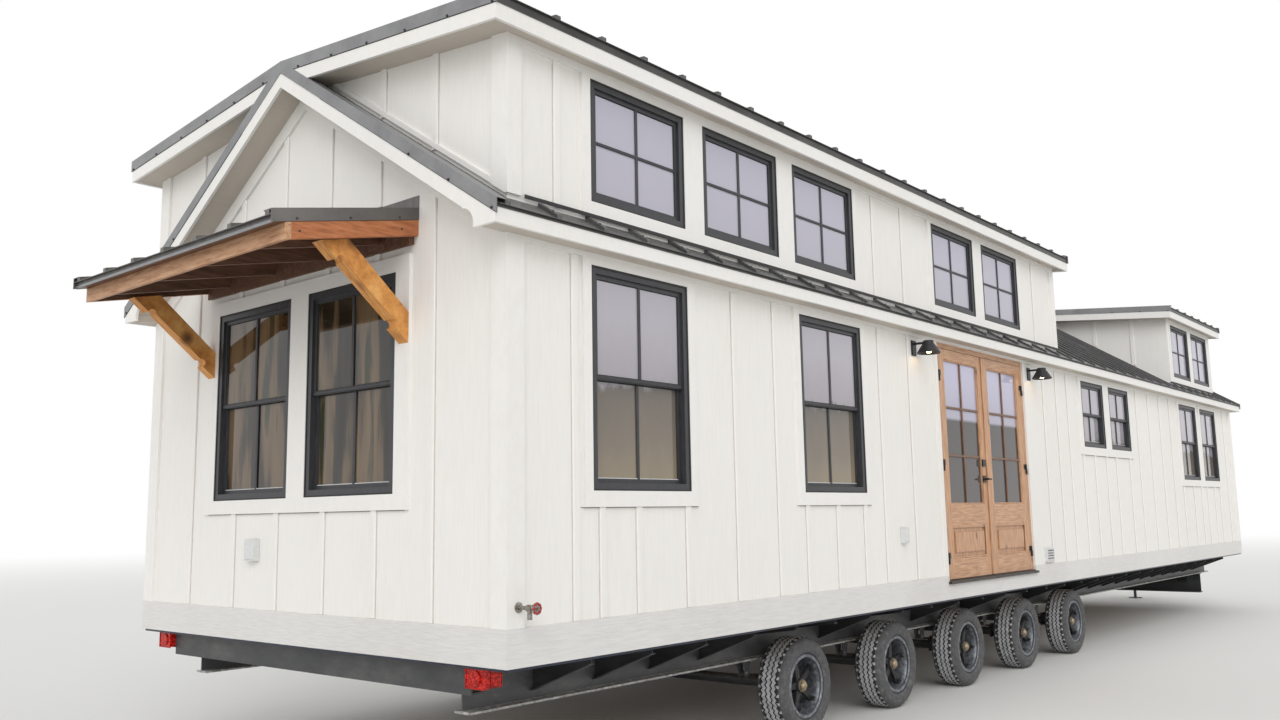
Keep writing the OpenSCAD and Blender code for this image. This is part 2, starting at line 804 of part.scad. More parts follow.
module pane_at(w, hung) {
    b = frame_w + sash_w;
    mid = (w[2] + w[3]) / 2;
    if (hung) {
        box(w[0] + b, w[0] + w[1] - b, 15, 21, mid - 13 + sash_w, w[3] - b);
        box(w[0] + b, w[0] + w[1] - b, 40, 46, w[2] + b, mid + 13 - sash_w);
    } else
        box(w[0] + b, w[0] + w[1] - b, 15, 21, w[2] + b, w[3] - b);
}

// Turns a window of the door wall onto the tail wall
module on_tail() {
    translate([0, house_w, 0]) rotate([0, 0, -90]) children();
}

module window_frames() {
    color("#3c3d40") place() {
        for (w = front_low) frame_at(w, true);
        far_side() for (w = back_low) frame_at(w, true);
        on_tail() for (w = tail_low) frame_at(w, true);
        both_sides() for (w = concat(long_up, short_up)) frame_at(w, false);
    }
}

module window_glass() {
    color("#b9bcd0") place() {
        for (w = front_low) pane_at(w, true);
        far_side() for (w = back_low) pane_at(w, true);
        on_tail() for (w = tail_low) pane_at(w, true);
        both_sides() for (w = concat(long_up, short_up)) pane_at(w, false);
    }
}

// --- Awning on the tail wall ---

// A sloped layer of the awning between two heights over its frame's top
module awn_layer(y0, y1, x0, x1, h0, h1) {
    along_y(y0, y1)
        polygon([[x0, awn_z(x0) + h0], [x0, awn_z(x0) + h1], [x1, awn_z(x1) + h1], [x1, awn_z(x1) + h0]]);
}

module awning_frame() {
    t = 38;
    color("#b5713f") place() {
        awn_layer(awn_y0, awn_y0 + t, -awning_out, 0, -awn_depth, 0);
        awn_layer(awn_y1 - t, awn_y1, -awning_out, 0, -awn_depth, 0);
        awn_layer(awn_y0 + t, awn_y1 - t, -awning_out, -awning_out + t, -awn_depth, 0);
        awn_layer(awn_y0 + t, awn_y1 - t, -t, 0, -awn_depth - 48, 0);
        for (i = [-1.5:1:1.5])
            awn_layer(mid_y + i * 580 - t / 2, mid_y + i * 580 + t / 2, -awning_out + t, -t, -awn_depth + 3, 0);
    }
}

// Brace with a belly cut along its lower edge, notched at both ends of the cut
module awning_brace(y) {
    foot = awn_top - 719;
    x1 = -awning_out + 251;
    z1 = awn_z(x1) - awn_depth - fit;
    x2 = -awning_out + 429;
    run = [x1 + board, z1 - foot];
    len = norm(run);
    along_y(y - 44, y + 44) difference() {
        polygon([[-board, foot], [-board, foot + 177], [x2, awn_z(x2) - awn_depth - fit], [x1, z1]]);
        translate([-board, foot]) rotate(atan2(run[1], run[0])) {
            translate([0.18 * len, -26]) square([0.62 * len, 52]);
            for (t = [0.18, 0.8]) translate([t * len, -14]) circle(26);
        }
    }
}

module awning_braces() {
    color("#b5713f") place()
        for (s = [-1, 1]) awning_brace(mid_y + s * (awning_w / 2 - 100));
}

// Deck, ribbed sheet, side trims and the flashing at the wall
module awning_roof() {
    y0 = awn_y0 - 4;
    y1 = awn_y1 + 4;
    color("#35373a") place() {
        awn_layer(awn_y0, awn_y1, -awn_edge + 20, 0, fit, 44);
        awn_layer(awn_y0, awn_y1, -awn_edge, 0, 44, 48);
        for (y = [awn_y0 + 20:rib_pitch:awn_y1 - 60])
            awn_layer(y, y + rib_w, -awn_edge, 0, 48, 72);
        awn_layer(y0, awn_y0, -awn_edge, 0, 4, 76);
        awn_layer(awn_y1, y1, -awn_edge, 0, 4, 76);
        awn_layer(y0, y0 + 74, -awn_edge, 0, 70, 76);
        awn_layer(y1 - 74, y1, -awn_edge, 0, 70, 76);
        awn_layer(y0, y1, -80, 0, 70, 76);
        awn_layer(y0, y1, -4, 0, 70, 150);
    }
}

// --- Doorway and leaves ---

// Jambs, head and stops
module door_frame() {
    x1 = door_x + door_w;
    z0 = sill_z + 30;
    color("#b98a5e") place() {
        box(door_x, door_x + jamb, 0, wall_t, z0, door_h);
        box(x1 - jamb, x1, 0, wall_t, z0, door_h);
        box(door_x + jamb, x1 - jamb, 0, wall_t, door_h - jamb, door_h);
        box(door_x + jamb, door_x + jamb + 14, leaf_t + 6, wall_t, z0, door_h - jamb);
        box(x1 - jamb - 14, x1 - jamb, leaf_t + 6, wall_t, z0, door_h - jamb);
        box(door_x + jamb, x1 - jamb, leaf_t + 6, wall_t, door_h - jamb - 14, door_h - jamb);
    }
}

// Threshold with a nose in front of the skirt
module door_sill() {
    color("#3a3530") place() {
        box(door_x, door_x + door_w, -board, wall_t, sill_z, sill_z + 30);
        box(door_x - 18, door_x + door_w + 18, -48, -board, sill_z, sill_z + 22);
    }
}

module hinge_fixed(x, s) {
    for (z = hinge_zs) translate([x, 0, z - 50]) {
        translate([0, pin_y, 0]) cylinder(r = knuckle_r, h = hinge_h);
        translate([0, pin_y, 0]) cylinder(r = pin_r, h = 100);
        box(min(0, -s * 45), max(0, -s * 45), pin_y + 5, 0, 0, hinge_h);
    }
}

module hinge_moving(x, s) {
    for (z = hinge_zs) translate([x, 0, z]) difference() {
        union() {
            translate([0, pin_y, 0]) cylinder(r = knuckle_r, h = hinge_h);
            box(min(0, s * 40), max(0, s * 40), pin_y + 5, 0, 0, hinge_h);
        }
        translate([0, pin_y, -e]) cylinder(r = pin_r + fit, h = 60);
    }
}

module door_hinges() {
    color("#202224") place() {
        hinge_fixed(pin_xl, 1);
        hinge_fixed(pin_xr, -1);
    }
}

// Sunk margin round the raised field of the lower panel, on one face
module panel_groove(x0, y0, y1) {
    difference() {
        box(x0 + stile, x0 + leaf_w - stile, y0, y1, panel_z0, panel_z1);
        box(x0 + stile + 48, x0 + leaf_w - stile - 48, y0 - e, y1 + e, panel_z0 + 48, panel_z1 - 48);
    }
}

module leaf(x0) {
    difference() {
        box(x0, x0 + leaf_w, 0, leaf_t, leaf_z0, leaf_z1);
        box(x0 + stile, x0 + leaf_w - stile, -e, leaf_t + e, lite_z0, lite_z1);
        panel_groove(x0, -e, 14);
        panel_groove(x0, leaf_t - 14, leaf_t + e);
    }
}

module leaf_glass(x0) {
    box(x0 + stile, x0 + leaf_w - stile, 20, 26, lite_z0, lite_z1);
}

module left_leaf() {
    color("#bd8c5f") place() leaf(leaf_xl);
}

module left_leaf_glass() {
    color("#b9bcd0") place() leaf_glass(leaf_xl);
}

// Square rose with its lever: s is -1 outside and 1 inside, reach is the lever's length
module lever(x, z, y, s, reach) {
    box(x - 32, x + 32, min(y, y + s * 8), max(y, y + s * 8), z - 32, z + 32);
    bar_y(x, z, min(y, y + s * 50), max(y, y + s * 50), 9);
    translate([x, y + s * 42, z]) rotate([0, reach > 0 ? 90 : -90, 0]) cylinder(r = 8, h = abs(reach));
}

module left_leaf_hardware() {
    x = leaf_xl + leaf_w - 85;
    z = leaf_z0 + 881;
    color("#1d1e20") place() {
        hinge_moving(pin_xl, 1);
        lever(x, z, 0, -1, 68);
        lever(x, z, leaf_t, 1, -112);
        box(x - 32, x + 32, -12, 0, z + 119, z + 183);
        box(x - 28, x + 28, leaf_t, leaf_t + 12, z + 123, z + 179);
    }
}

module right_leaf() {
    color("#bd8c5f") place() leaf(leaf_xr);
}

module right_leaf_glass() {
    color("#b9bcd0") place() leaf_glass(leaf_xr);
}

module right_leaf_hardware() {
    color("#1d1e20") place() hinge_moving(pin_xr, -1);
}

// --- Fittings on the walls ---

// Barn lamp: back plate, arm and a hollow hood
module lamp(x) {
    box(x - 35, x + 35, -12, 0, lamp_z, lamp_z + 120);
    bar_y(x, lamp_z + 96, -142, -12, 10);
    translate([x, lamp_r - lamp_out, lamp_z])
        rotate_extrude()
            polygon([[0, 76], [40, 74], [lamp_r - 4, 0], [lamp_r, 0], [lamp_r, 8], [52, 82], [44, 84],
                [44, 108], [38, 112], [0, 112]]);
}

module wall_lamps() {
    color("#18191b") place() {
        lamp(door_x - 420);
        lamp(door_x + door_w + 195);
    }
}

// Outlet covers on the door wall and the tail wall, and the vent box beside the door
module service_boxes() {
    x = door_x + door_w + 315;
    color("#c9cac8") place() {
        box(door_x - 822, door_x - 747, -40, 0, 503, 633);
        box(x, x + 190, -30, 0, 221, 371);
        for (z = [241:26:345]) box(x + 15, x + 175, -40, -30, z, z + 10);
        box(-40, 0, mid_y + 427, mid_y + 547, 510, 652);
    }
}

// Hose tap on the corner board: flange, pipe, body and handwheel turned as one, with its spout
module hose_tap() {
    x = 60;
    z = 305;
    wheel_r = 31;
    color("#8d9092") place() {
        difference() {
            translate([x, 0, z]) rotate([90, 0, 0]) rotate_extrude()
                polygon([[0, 20], [27, 20], [27, 26], [11, 28], [11, 84], [18, 88], [18, 122], [11, 126], [6, 132],
                    [6, 151], [wheel_r, 153], [wheel_r, 161], [8, 163], [8, 172], [0, 172]]);
            for (a = [0:60:359])
                bar_y(x + 19 * cos(a), z + 19 * sin(a), -166, -148, 5);
        }
        translate([x, -105, z - 58]) cylinder(r = 13, h = 56);
    }
}

// --- Wheels ---

// Tyre on an open-centre rim, a five-arm hub with its drum and cap; the outer face is +Z here
module wheel_body() {
    w = tyre_w / 2;
    r = tyre_d / 2;
    rotate([90, 0, 0]) {
        rotate_extrude($fn = 64)
            polygon([[rim_r - 12, -w + 18], [rim_r + 8, -w + 18], [rim_r + 14, -w + 12], [rim_r + 34, -w + 8],
                [r - 70, -w], [r - 34, -w + 4], [r - 8, -w + 22], [r, -w + 44], [r, w - 44], [r - 8, w - 22],
                [r - 34, w - 4], [r - 70, w], [rim_r + 34, w - 8], [rim_r + 14, w - 12], [rim_r + 8, w - 18],
                [rim_r - 12, w - 18], [rim_r - 12, w - 26], [rim_r, w - 34], [rim_r - 14, w - 58],
                [rim_r - 14, -w + 58], [rim_r, -w + 34], [rim_r - 12, -w + 26]]);
        difference() {
            union() {
                translate([0, 0, -60]) cylinder(r = 55, h = 130);
                translate([0, 0, -70]) cylinder(r = rim_r - 44, h = 40);
                translate([0, 0, 70]) rotate_extrude() polygon([[0, 0], [38, 0], [38, 18], [28, 27], [0, 27]]);
                for (a = [0:72:359]) rotate([0, 0, a]) {
                    translate([0, 0, 14]) linear_extrude(34)
                        polygon([[40, -27], [rim_r - 10, -20], [rim_r - 10, 20], [40, 27]]);
                    translate([rim_r - 32, -14, 40]) cube([26, 28, 18]);
                    translate([rim_r - 40, 0, 46]) cylinder(r = 9, h = 22);
                }
            }
            translate([0, 0, -71]) cylinder(r = spindle_r + fit, h = 71 + 64);
        }
    }
}

module wheel(i, near) {
    color("#2d2d2e") place() translate([axle_xs[i], near ? tyre_y : house_w - tyre_y, hub_z])
        mirror([0, near ? 0 : 1, 0]) wheel_body();
}

main_beams();
cross_members();
outriggers();
tail_channel();
drawbar();
tongue_jack();
axles();
springs();
tail_lights();
floor_deck();
skirt_boards();
door_wall_tail();
door_wall_hitch();
door_wall_header();
back_wall();
tail_wall();
hitch_wall();
dormer_walls();
loft_floors();
roof_front();
roof_back();
dormer_roofs();
lower_roofing();
upper_roofing();
fascias();
metal_trim();
wall_trim();
window_frames();
window_glass();
awning_frame();
awning_braces();
awning_roof();
door_frame();
door_sill();
door_hinges();
left_leaf();
left_leaf_glass();
left_leaf_hardware();
right_leaf();
right_leaf_glass();
right_leaf_hardware();
wall_lamps();
service_boxes();
hose_tap();
wheel(0, true);  // wheel_near_1
wheel(1, true);  // wheel_near_2
wheel(2, true);  // wheel_near_3
wheel(3, true);  // wheel_near_4
wheel(4, true);  // wheel_near_5
wheel(0, false);  // wheel_far_1
wheel(1, false);  // wheel_far_2
wheel(2, false);  // wheel_far_3
wheel(3, false);  // wheel_far_4
wheel(4, false);  // wheel_far_5
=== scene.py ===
import math
import bpy
from mathutils import Matrix, Vector


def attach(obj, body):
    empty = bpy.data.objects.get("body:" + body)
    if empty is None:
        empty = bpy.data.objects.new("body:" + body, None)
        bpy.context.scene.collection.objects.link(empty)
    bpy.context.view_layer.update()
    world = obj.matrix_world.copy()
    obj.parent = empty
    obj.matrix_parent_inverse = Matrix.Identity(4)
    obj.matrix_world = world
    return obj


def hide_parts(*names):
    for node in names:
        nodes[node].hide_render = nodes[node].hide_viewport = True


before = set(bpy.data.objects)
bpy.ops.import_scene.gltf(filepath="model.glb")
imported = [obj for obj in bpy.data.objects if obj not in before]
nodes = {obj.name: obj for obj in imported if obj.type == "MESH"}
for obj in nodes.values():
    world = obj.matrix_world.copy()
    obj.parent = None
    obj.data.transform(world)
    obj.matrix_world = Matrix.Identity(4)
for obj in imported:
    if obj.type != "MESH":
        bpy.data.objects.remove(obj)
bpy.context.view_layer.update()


# The studio: a pale floor that fades into a white background, two wide soft suns and an even sky
# The floor lies just under the tyres; only straight looks see it turn white far away.
tail_x, mid_y, ground_z = 8225, 1915, 840


def house(x, y, z):
    """A point in mm from the house's tail corner at the skirt's underside, in metres of the row frame."""
    return Vector(((x - tail_x) / 1000, (y - mid_y) / 1000, (z + ground_z) / 1000))


def new_finish(name, colour, rough, metal=0.0):
    """A new material: its node tree and its shader, with the constant values set on the shader."""
    finish = bpy.data.materials.new(name)
    finish.use_nodes = True
    tree = finish.node_tree
    shader = tree.nodes["Principled BSDF"]
    shader.inputs["Base Color"].default_value = (*colour, 1)
    shader.inputs["Roughness"].default_value = rough
    shader.inputs["Metallic"].default_value = metal
    return finish, tree, shader


def worked_out(tree, operation, *terms):
    """One arithmetic step on fields and plain numbers."""
    step = tree.nodes.new("ShaderNodeMath")
    step.operation = operation
    for socket, term in zip(step.inputs, terms):
        if isinstance(term, (int, float)):
            socket.default_value = term
        else:
            tree.links.new(term, socket)
    return step.outputs[0]


def straight_light(tree):
    """1 where a ray comes from the lens, a mirror or glass, and 0 where it lights something."""
    path = tree.nodes.new("ShaderNodeLightPath").outputs
    mirrored = worked_out(tree, "MAXIMUM", path["Is Camera Ray"], path["Is Glossy Ray"])
    return worked_out(tree, "MAXIMUM", mirrored, path["Is Transmission Ray"])


def scaled(tree, field, start, end, low=0.0, high=1.0):
    """A field's stretch from start to end, spread over low to high."""
    spread = tree.nodes.new("ShaderNodeMapRange")
    for name, value in (("From Min", start), ("From Max", end), ("To Min", low), ("To Max", high)):
        spread.inputs[name].default_value = value
    tree.links.new(field, spread.inputs["Value"])
    return spread


def chosen(tree, factor, first, second):
    """The first shader where the factor is 0, the second where it is 1."""
    blend = tree.nodes.new("ShaderNodeMixShader")
    for socket, source in zip(blend.inputs, (factor, first, second)):
        tree.links.new(source, socket)
    return blend.outputs[0]


bpy.ops.object.select_all(action="DESELECT")
bpy.ops.mesh.primitive_circle_add(vertices=96, radius=260, fill_type="NGON", location=(0, 0, -0.002))
studio_floor = bpy.context.object
studio_floor.name = "studio_floor"
floor_finish, tree, shader = new_finish("pale_floor", (0.72, 0.72, 0.71), 0.9)
distance = tree.nodes.new("ShaderNodeVectorMath")
distance.operation = "LENGTH"
tree.links.new(tree.nodes.new("ShaderNodeTexCoord").outputs["Object"], distance.inputs[0])
fade = scaled(tree, distance.outputs["Value"], 14, 60)
fade.interpolation_type = "SMOOTHSTEP"
seen = worked_out(tree, "MULTIPLY", fade.outputs["Result"], straight_light(tree))
glow = tree.nodes.new("ShaderNodeEmission")
glow.inputs["Color"].default_value = (1, 1, 1, 1)
tree.links.new(chosen(tree, seen, shader.outputs[0], glow.outputs[0]),
               tree.nodes["Material Output"].inputs["Surface"])
studio_floor.data.materials.append(floor_finish)

sky = bpy.data.worlds.new("even_sky")
sky.use_nodes = True
bpy.context.scene.world = sky
tree = sky.node_tree
soft = tree.nodes["Background"]
soft.inputs["Color"].default_value = (1.0, 0.995, 0.985, 1)
soft.inputs["Strength"].default_value = 0.78
behind = tree.nodes.new("ShaderNodeBackground")
behind.inputs["Color"].default_value = (1, 1, 1, 1)
behind.inputs["Strength"].default_value = 1.0
tree.links.new(chosen(tree, straight_light(tree), soft.outputs[0], behind.outputs[0]),
               tree.nodes["World Output"].inputs["Surface"])

for name, energy, spread, towards in (("soft_sun", 1.17, 44, (-0.57, -0.6, 0.52)),
                                      ("tail_fill", 0.3, 70, (-0.9, -0.1, 0.3))):
    bpy.ops.object.light_add(type="SUN", location=Vector(towards) * 20)
    sun = bpy.context.object
    sun.name = name
    sun.data.energy = energy
    sun.data.angle = math.radians(spread)
    sun.rotation_euler = Vector(towards).to_track_quat("Z", "Y").to_euler()

bpy.ops.object.camera_add(location=(-12.101, -6.141, 1.606))
camera = bpy.context.object
camera.data.lens = 30.6
camera.data.sensor_width = 36
camera.data.clip_end = 600
yaw, pitch, roll = math.radians(49.56), math.radians(8.11), math.radians(-0.97)
ahead = Vector((math.sin(yaw) * math.cos(pitch), math.cos(yaw) * math.cos(pitch), math.sin(pitch)))
side = Vector((math.cos(yaw), -math.sin(yaw), 0))
up = side.cross(ahead)
right = side * math.cos(roll) + up * math.sin(roll)
top = up * math.cos(roll) - side * math.sin(roll)
camera.rotation_euler = Matrix((right, top, -ahead)).transposed().to_euler()
bpy.context.scene.camera = camera
bpy.context.scene.view_settings.view_transform = "Standard"


# Trailer frame: welded I-beams, channels, tapered arms, axles and drawbar
# Mild steel, sprayed satin black and dusty from the road, heavier dust on what faces up.
def on_piece(tree, stretch=(1, 1, 1)):
    """The piece's own coordinates, stretched."""
    coords = tree.nodes.new("ShaderNodeTexCoord")
    mapping = tree.nodes.new("ShaderNodeMapping")
    mapping.inputs["Scale"].default_value = stretch
    tree.links.new(coords.outputs["Object"], mapping.inputs["Vector"])
    return mapping.outputs["Vector"]


def mottle(tree, where, size, detail=5, rough=0.55):
    """Cloudy variation between 0 and 1."""
    noise = tree.nodes.new("ShaderNodeTexNoise")
    noise.inputs["Scale"].default_value = size
    noise.inputs["Detail"].default_value = detail
    noise.inputs["Roughness"].default_value = rough
    tree.links.new(where, noise.inputs["Vector"])
    return noise.outputs["Fac"]


def tones(tree, field, *stops):
    """Colours along a field: each stop is its place and its colour."""
    ramp = tree.nodes.new("ShaderNodeValToRGB")
    while len(ramp.color_ramp.elements) < len(stops):
        ramp.color_ramp.elements.new(0.5)
    for element, (place, colour) in zip(ramp.color_ramp.elements, stops):
        element.position = place
        element.color = (*colour, 1)
    tree.links.new(field, ramp.inputs["Fac"])
    return ramp.outputs["Color"]


def coloured(tree, shader, field, *stops):
    """Base colour that follows a field."""
    tree.links.new(tones(tree, field, *stops), shader.inputs["Base Color"])


def shine(tree, shader, field, low, high):
    """Roughness that follows a field."""
    tree.links.new(scaled(tree, field, 0, 1, low, high).outputs["Result"], shader.inputs["Roughness"])


def relief(tree, shader, field, depth, strength=0.6):
    """Fine relief, its depth in metres."""
    bump = tree.nodes.new("ShaderNodeBump")
    bump.inputs["Distance"].default_value = depth
    bump.inputs["Strength"].default_value = strength
    tree.links.new(field, bump.inputs["Height"])
    if shader.inputs["Normal"].links:
        tree.links.new(shader.inputs["Normal"].links[0].from_socket, bump.inputs["Normal"])
    tree.links.new(bump.outputs["Normal"], shader.inputs["Normal"])


def finish_nodes(finish, *names):
    """Gives carried-over parts their finish."""
    for name in names:
        for socket in nodes[name].material_slots:
            socket.material = finish


def parts_of(tree, source):
    """The X, Y and Z of a vector."""
    split = tree.nodes.new("ShaderNodeSeparateXYZ")
    tree.links.new(source, split.inputs[0])
    return split.outputs


def own(tree, axis):
    """The piece's own coordinate on an axis, in metres."""
    return parts_of(tree, tree.nodes.new("ShaderNodeTexCoord").outputs["Object"])[axis]


def facing(tree, axis):
    """How far a face looks along an axis, from -1 to 1."""
    return parts_of(tree, tree.nodes.new("ShaderNodeNewGeometry").outputs["True Normal"])[axis]


def band(tree, axis, low, high):
    """1 where the piece's own coordinate on an axis is between two house places in mm, and 0 elsewhere."""
    low, high = [getattr(house(place, place, place), axis.lower()) for place in (low, high)]
    return worked_out(tree, "COMPARE", own(tree, axis), (low + high) / 2, (high - low) / 2)


def painted_over(tree, shader, mask, colour):
    """Another colour over the base colour where the mask is 1."""
    over = tree.nodes.new("ShaderNodeMix")
    over.data_type = "RGBA"
    tree.links.new(mask, over.inputs["Factor"])
    tree.links.new(shader.inputs["Base Color"].links[0].from_socket, over.inputs["A"])
    if isinstance(colour, tuple):
        over.inputs["B"].default_value = (*colour, 1)
    else:
        tree.links.new(colour, over.inputs["B"])
    tree.links.new(over.outputs["Result"], shader.inputs["Base Color"])


def clouded(name, base, surface, stretch, cloud, *stops, shines=None, bumps=None):
    """A finish whose colour follows one cloudy field; its roughness and relief do so where they are given.

    The surface is roughness and metal; the cloud is the field's size, detail and roughness."""
    finish, tree, shader = new_finish(name, base, *surface)
    field = mottle(tree, on_piece(tree, stretch), *cloud)
    coloured(tree, shader, field, *stops)
    if shines:
        shine(tree, shader, field, *shines)
    if bumps:
        relief(tree, shader, field, *bumps)
    return finish


def chassis_steel(name, dark, middle, dusty, dust_and_highlight_tone):
    """Sprayed steel; road dust lies on what faces up, and a painted highlight runs along the beams' lower
    flanges.
    """
    finish, tree, shader = new_finish(name, middle, 0.45)
    dust = mottle(tree, on_piece(tree, (1.2, 1.2, 3)), 2.2, 8, 0.65)
    coloured(tree, shader, dust, (0.3, dark), (0.52, middle), (0.75, dusty))
    upward = worked_out(tree, "GREATER_THAN", facing(tree, "Z"), 0.2)
    # The band along the lower flanges is a painted highlight of their lit edge; faces that look up carry dust
    # in the same tones.
    dust_and_flange_highlight = worked_out(tree, "MAXIMUM", upward, band(tree, "Z", -297, -279))
    grit = mottle(tree, on_piece(tree), 30, 8, 0.7)
    painted_over(tree, shader, dust_and_flange_highlight, tones(tree, grit, (0.3, middle), (0.6, dust_and_highlight_tone)))
    shine(tree, shader, dust, 0.3, 0.7)
    relief(tree, shader, mottle(tree, on_piece(tree), 180, 3), 0.0006, 0.4)
    return finish


# One paint in three brightnesses: lighter on the main beams and cross members, painted light that their webs
# catch from the sky and the ground; darker on the tail channel, arms, drawbar and axles.
for name, colours, names in (
        ("satin_black_chassis", ((0.05, 0.052, 0.056), (0.085, 0.087, 0.092), (0.17, 0.168, 0.165),
                                 (0.5, 0.5, 0.48)), ("main_beams", "cross_members")),
        ("worn_black_channel", ((0.028, 0.029, 0.031), (0.055, 0.056, 0.058), (0.12, 0.118, 0.114),
                                (0.3, 0.3, 0.29)), ("tail_channel",)),
        ("satin_black_arms", ((0.016, 0.018, 0.021), (0.032, 0.034, 0.038), (0.06, 0.06, 0.062),
                              (0.1, 0.1, 0.1)), ("outriggers", "drawbar", "axles"))):
    finish_nodes(chassis_steel(name, *colours), *names)

spring_finish = clouded(
    "oiled_spring_steel", (0.05, 0.045, 0.042), (0.5, 0.3), (2, 2, 9), (6, 8, 0.7),
    (0.4, (0.03, 0.03, 0.032)), (0.62, (0.07, 0.05, 0.04)), (0.8, (0.14, 0.075, 0.045)), bumps=(0.001, 0.5))
finish_nodes(spring_finish, "springs")

jack_finish = clouded(
    "jack_zinc_and_paint", (0.2, 0.2, 0.21), (0.4, 0.5), (1, 1, 0.4), (14, 7, 0.6),
    (0.4, (0.05, 0.052, 0.056)), (0.7, (0.09, 0.09, 0.094)), (0.85, (0.3, 0.3, 0.31)), shines=(0.3, 0.6))
finish_nodes(jack_finish, "tongue_jack")


# Moisture film: the blue-black sheet stretched under the floor, showing as a line below the skirt
# Woven plastic, stapled to the joists and trapped by the skirt boards.
def eased(piece, ease, segments=1):
    """The active piece with all its arrises eased, in mm."""
    bpy.ops.object.mode_set(mode="EDIT")
    bpy.ops.mesh.select_all(action="SELECT")
    bpy.ops.mesh.bevel(offset=ease / 1000, segments=segments, affect="EDGES")
    bpy.ops.object.mode_set(mode="OBJECT")
    return piece


def board(name, low, high, ease, segments=1):
    """A board between two corners, in house mm, with its arrises eased; one piece of its own."""
    bpy.ops.object.select_all(action="DESELECT")
    a, b = house(*low), house(*high)
    bpy.ops.mesh.primitive_cube_add(size=1, location=(a + b) / 2, scale=b - a)
    piece = bpy.context.object
    piece.name = name
    bpy.ops.object.transform_apply(location=True, rotation=True, scale=True)
    return eased(piece, ease, segments)


def joined(name, pieces):
    """Like pieces on one wall made one object, its origin at the row frame's."""
    bpy.ops.object.select_all(action="DESELECT")
    for piece in pieces:
        piece.select_set(True)
    bpy.context.view_layer.objects.active = pieces[0]
    if len(pieces) > 1:
        bpy.ops.object.join()
    whole = bpy.context.object
    whole.name = name
    whole.data.name = name
    return whole


def settle(piece, body, finish):
    """Finish and body of a new piece."""
    piece.data.materials.clear()
    piece.data.materials.append(finish)
    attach(piece, body)
    return piece


def group(name, pieces, finish, body="house"):
    """Like pieces joined and settled."""
    return settle(joined(name, pieces), body, finish)


film_finish = clouded(
    "blue_black_film", (0.012, 0.016, 0.035), (0.35,), (3, 3, 20), (5, 6), (0.4, (0.008, 0.011, 0.025)),
    (0.7, (0.02, 0.03, 0.07)), bumps=(0.004, 0.7))
house_long, house_wide = 15900, 3920
group("floor_film", [
    board("film_near", (0, -6, -16), (house_long, 4, 0), 2),
    board("film_far", (0, house_wide - 4, -16), (house_long, house_wide + 6, 0), 2),
    board("film_tail", (-6, 4, -16), (4, house_wide - 4, 0), 2),
    board("film_hitch", (house_long - 4, 4, -16), (house_long + 6, house_wide - 4, 0), 2),
], film_finish)


# Tail lights: red boxes with a wide lens to the rear and a small one to the side
# Moulded clear-red plastic with prisms inside and a plain raised rim, screwed to steel brackets.
lens_finish, tree, shader = new_finish("prismed_red_lens", (0.75, 0.03, 0.02), 0.16)
prisms = tree.nodes.new("ShaderNodeTexVoronoi")
prisms.inputs["Scale"].default_value = 70
tree.links.new(on_piece(tree), prisms.inputs["Vector"])
coloured(tree, shader, prisms.outputs["Distance"], (0.15, (0.8, 0.03, 0.016)), (0.6, (0.3, 0.006, 0.004)))
relief(tree, shader, prisms.outputs["Distance"], 0.0015, 0.6)
shader.inputs["Specular IOR Level"].default_value = 0.3
finish_nodes(lens_finish, "tail_lights")

# Black rubber; the same near black also makes the strips of painted shade: the shadow strips under the trims,
# the wall flashings and the vent's slats.
rubber_and_shade_black = clouded(
    "black_rubber_and_painted_shade", (0.018, 0.018, 0.019), (0.6,), (1, 1, 1), (90, 5), (0.3, (0.012, 0.012, 0.013)),
    (0.8, (0.035, 0.034, 0.033)), bumps=(0.0005, 0.5))


def surround(name, low, high, wide, ease, segments=1, run=0):
    """Four bars inside a rectangle along X (run 0) or Y (run 1): two uprights, foot and head between them."""
    bars = []
    for axis, inset in ((run, 0), (2, wide)):
        for edge in (low[axis], high[axis] - wide):
            a, b = list(low), list(high)
            a[run], b[run] = a[run] + inset, b[run] - inset
            a[axis], b[axis] = edge, edge + wide
            bars.append(board(name, a, b, ease, segments))
    return bars


rims = []
for y0, y1 in ((184, 344), (3576, 3736)):
    rims += surround("rim_bar", (15, y0, -124), (22, y1, -12), 6, 2, 2, run=1)
for y0, y1 in ((183, 187), (3733, 3737)):
    rims += surround("rim_bar", (56, y0, -116), (136, y1, -20), 5, 1.5)
group("lens_rims", rims, lens_finish)


# Wheels: trailer tyre on an open-centre steel rim, clamped to a five-arm cast hub
# Ribbed tread with zigzag grooves, plain sidewalls with moulded rings; the rims are painted steel.
def ring_of(name, section, steps):
    """A closed section of (distance from the axis, distance along it) in mm, spun round the Y axis."""
    bpy.ops.object.select_all(action="DESELECT")
    bpy.ops.mesh.primitive_circle_add(vertices=len(section), radius=1, fill_type="NOTHING")
    piece = bpy.context.object
    piece.name = name
    for corner, (out, along) in zip(piece.data.vertices, section):
        corner.co = (out / 1000, along / 1000, 0)
    bpy.ops.object.mode_set(mode="EDIT")
    bpy.ops.mesh.select_all(action="SELECT")
    bpy.ops.mesh.spin(steps=steps, angle=2 * math.pi, center=(0, 0, 0), axis=(0, 1, 0))
    bpy.ops.mesh.select_all(action="SELECT")
    bpy.ops.mesh.remove_doubles(threshold=0.00002)
    bpy.ops.mesh.normals_make_consistent(inside=False)
    bpy.ops.object.mode_set(mode="OBJECT")
    return piece


def smooth(piece, degrees):
    """Shaded smooth, with edges sharper than the angle kept."""
    bpy.ops.object.select_all(action="DESELECT")
    piece.select_set(True)
    bpy.context.view_layer.objects.active = piece
    bpy.ops.object.shade_smooth_by_angle(angle=math.radians(degrees))
    return piece


def copy_at(piece, name, matrix):
    """A copy with its own mesh, its place in the mesh."""
    twin = piece.copy()
    twin.data = piece.data.copy()
    twin.data.transform(matrix)
    twin.name = name
    twin.data.name = name
    bpy.context.scene.collection.objects.link(twin)
    return twin


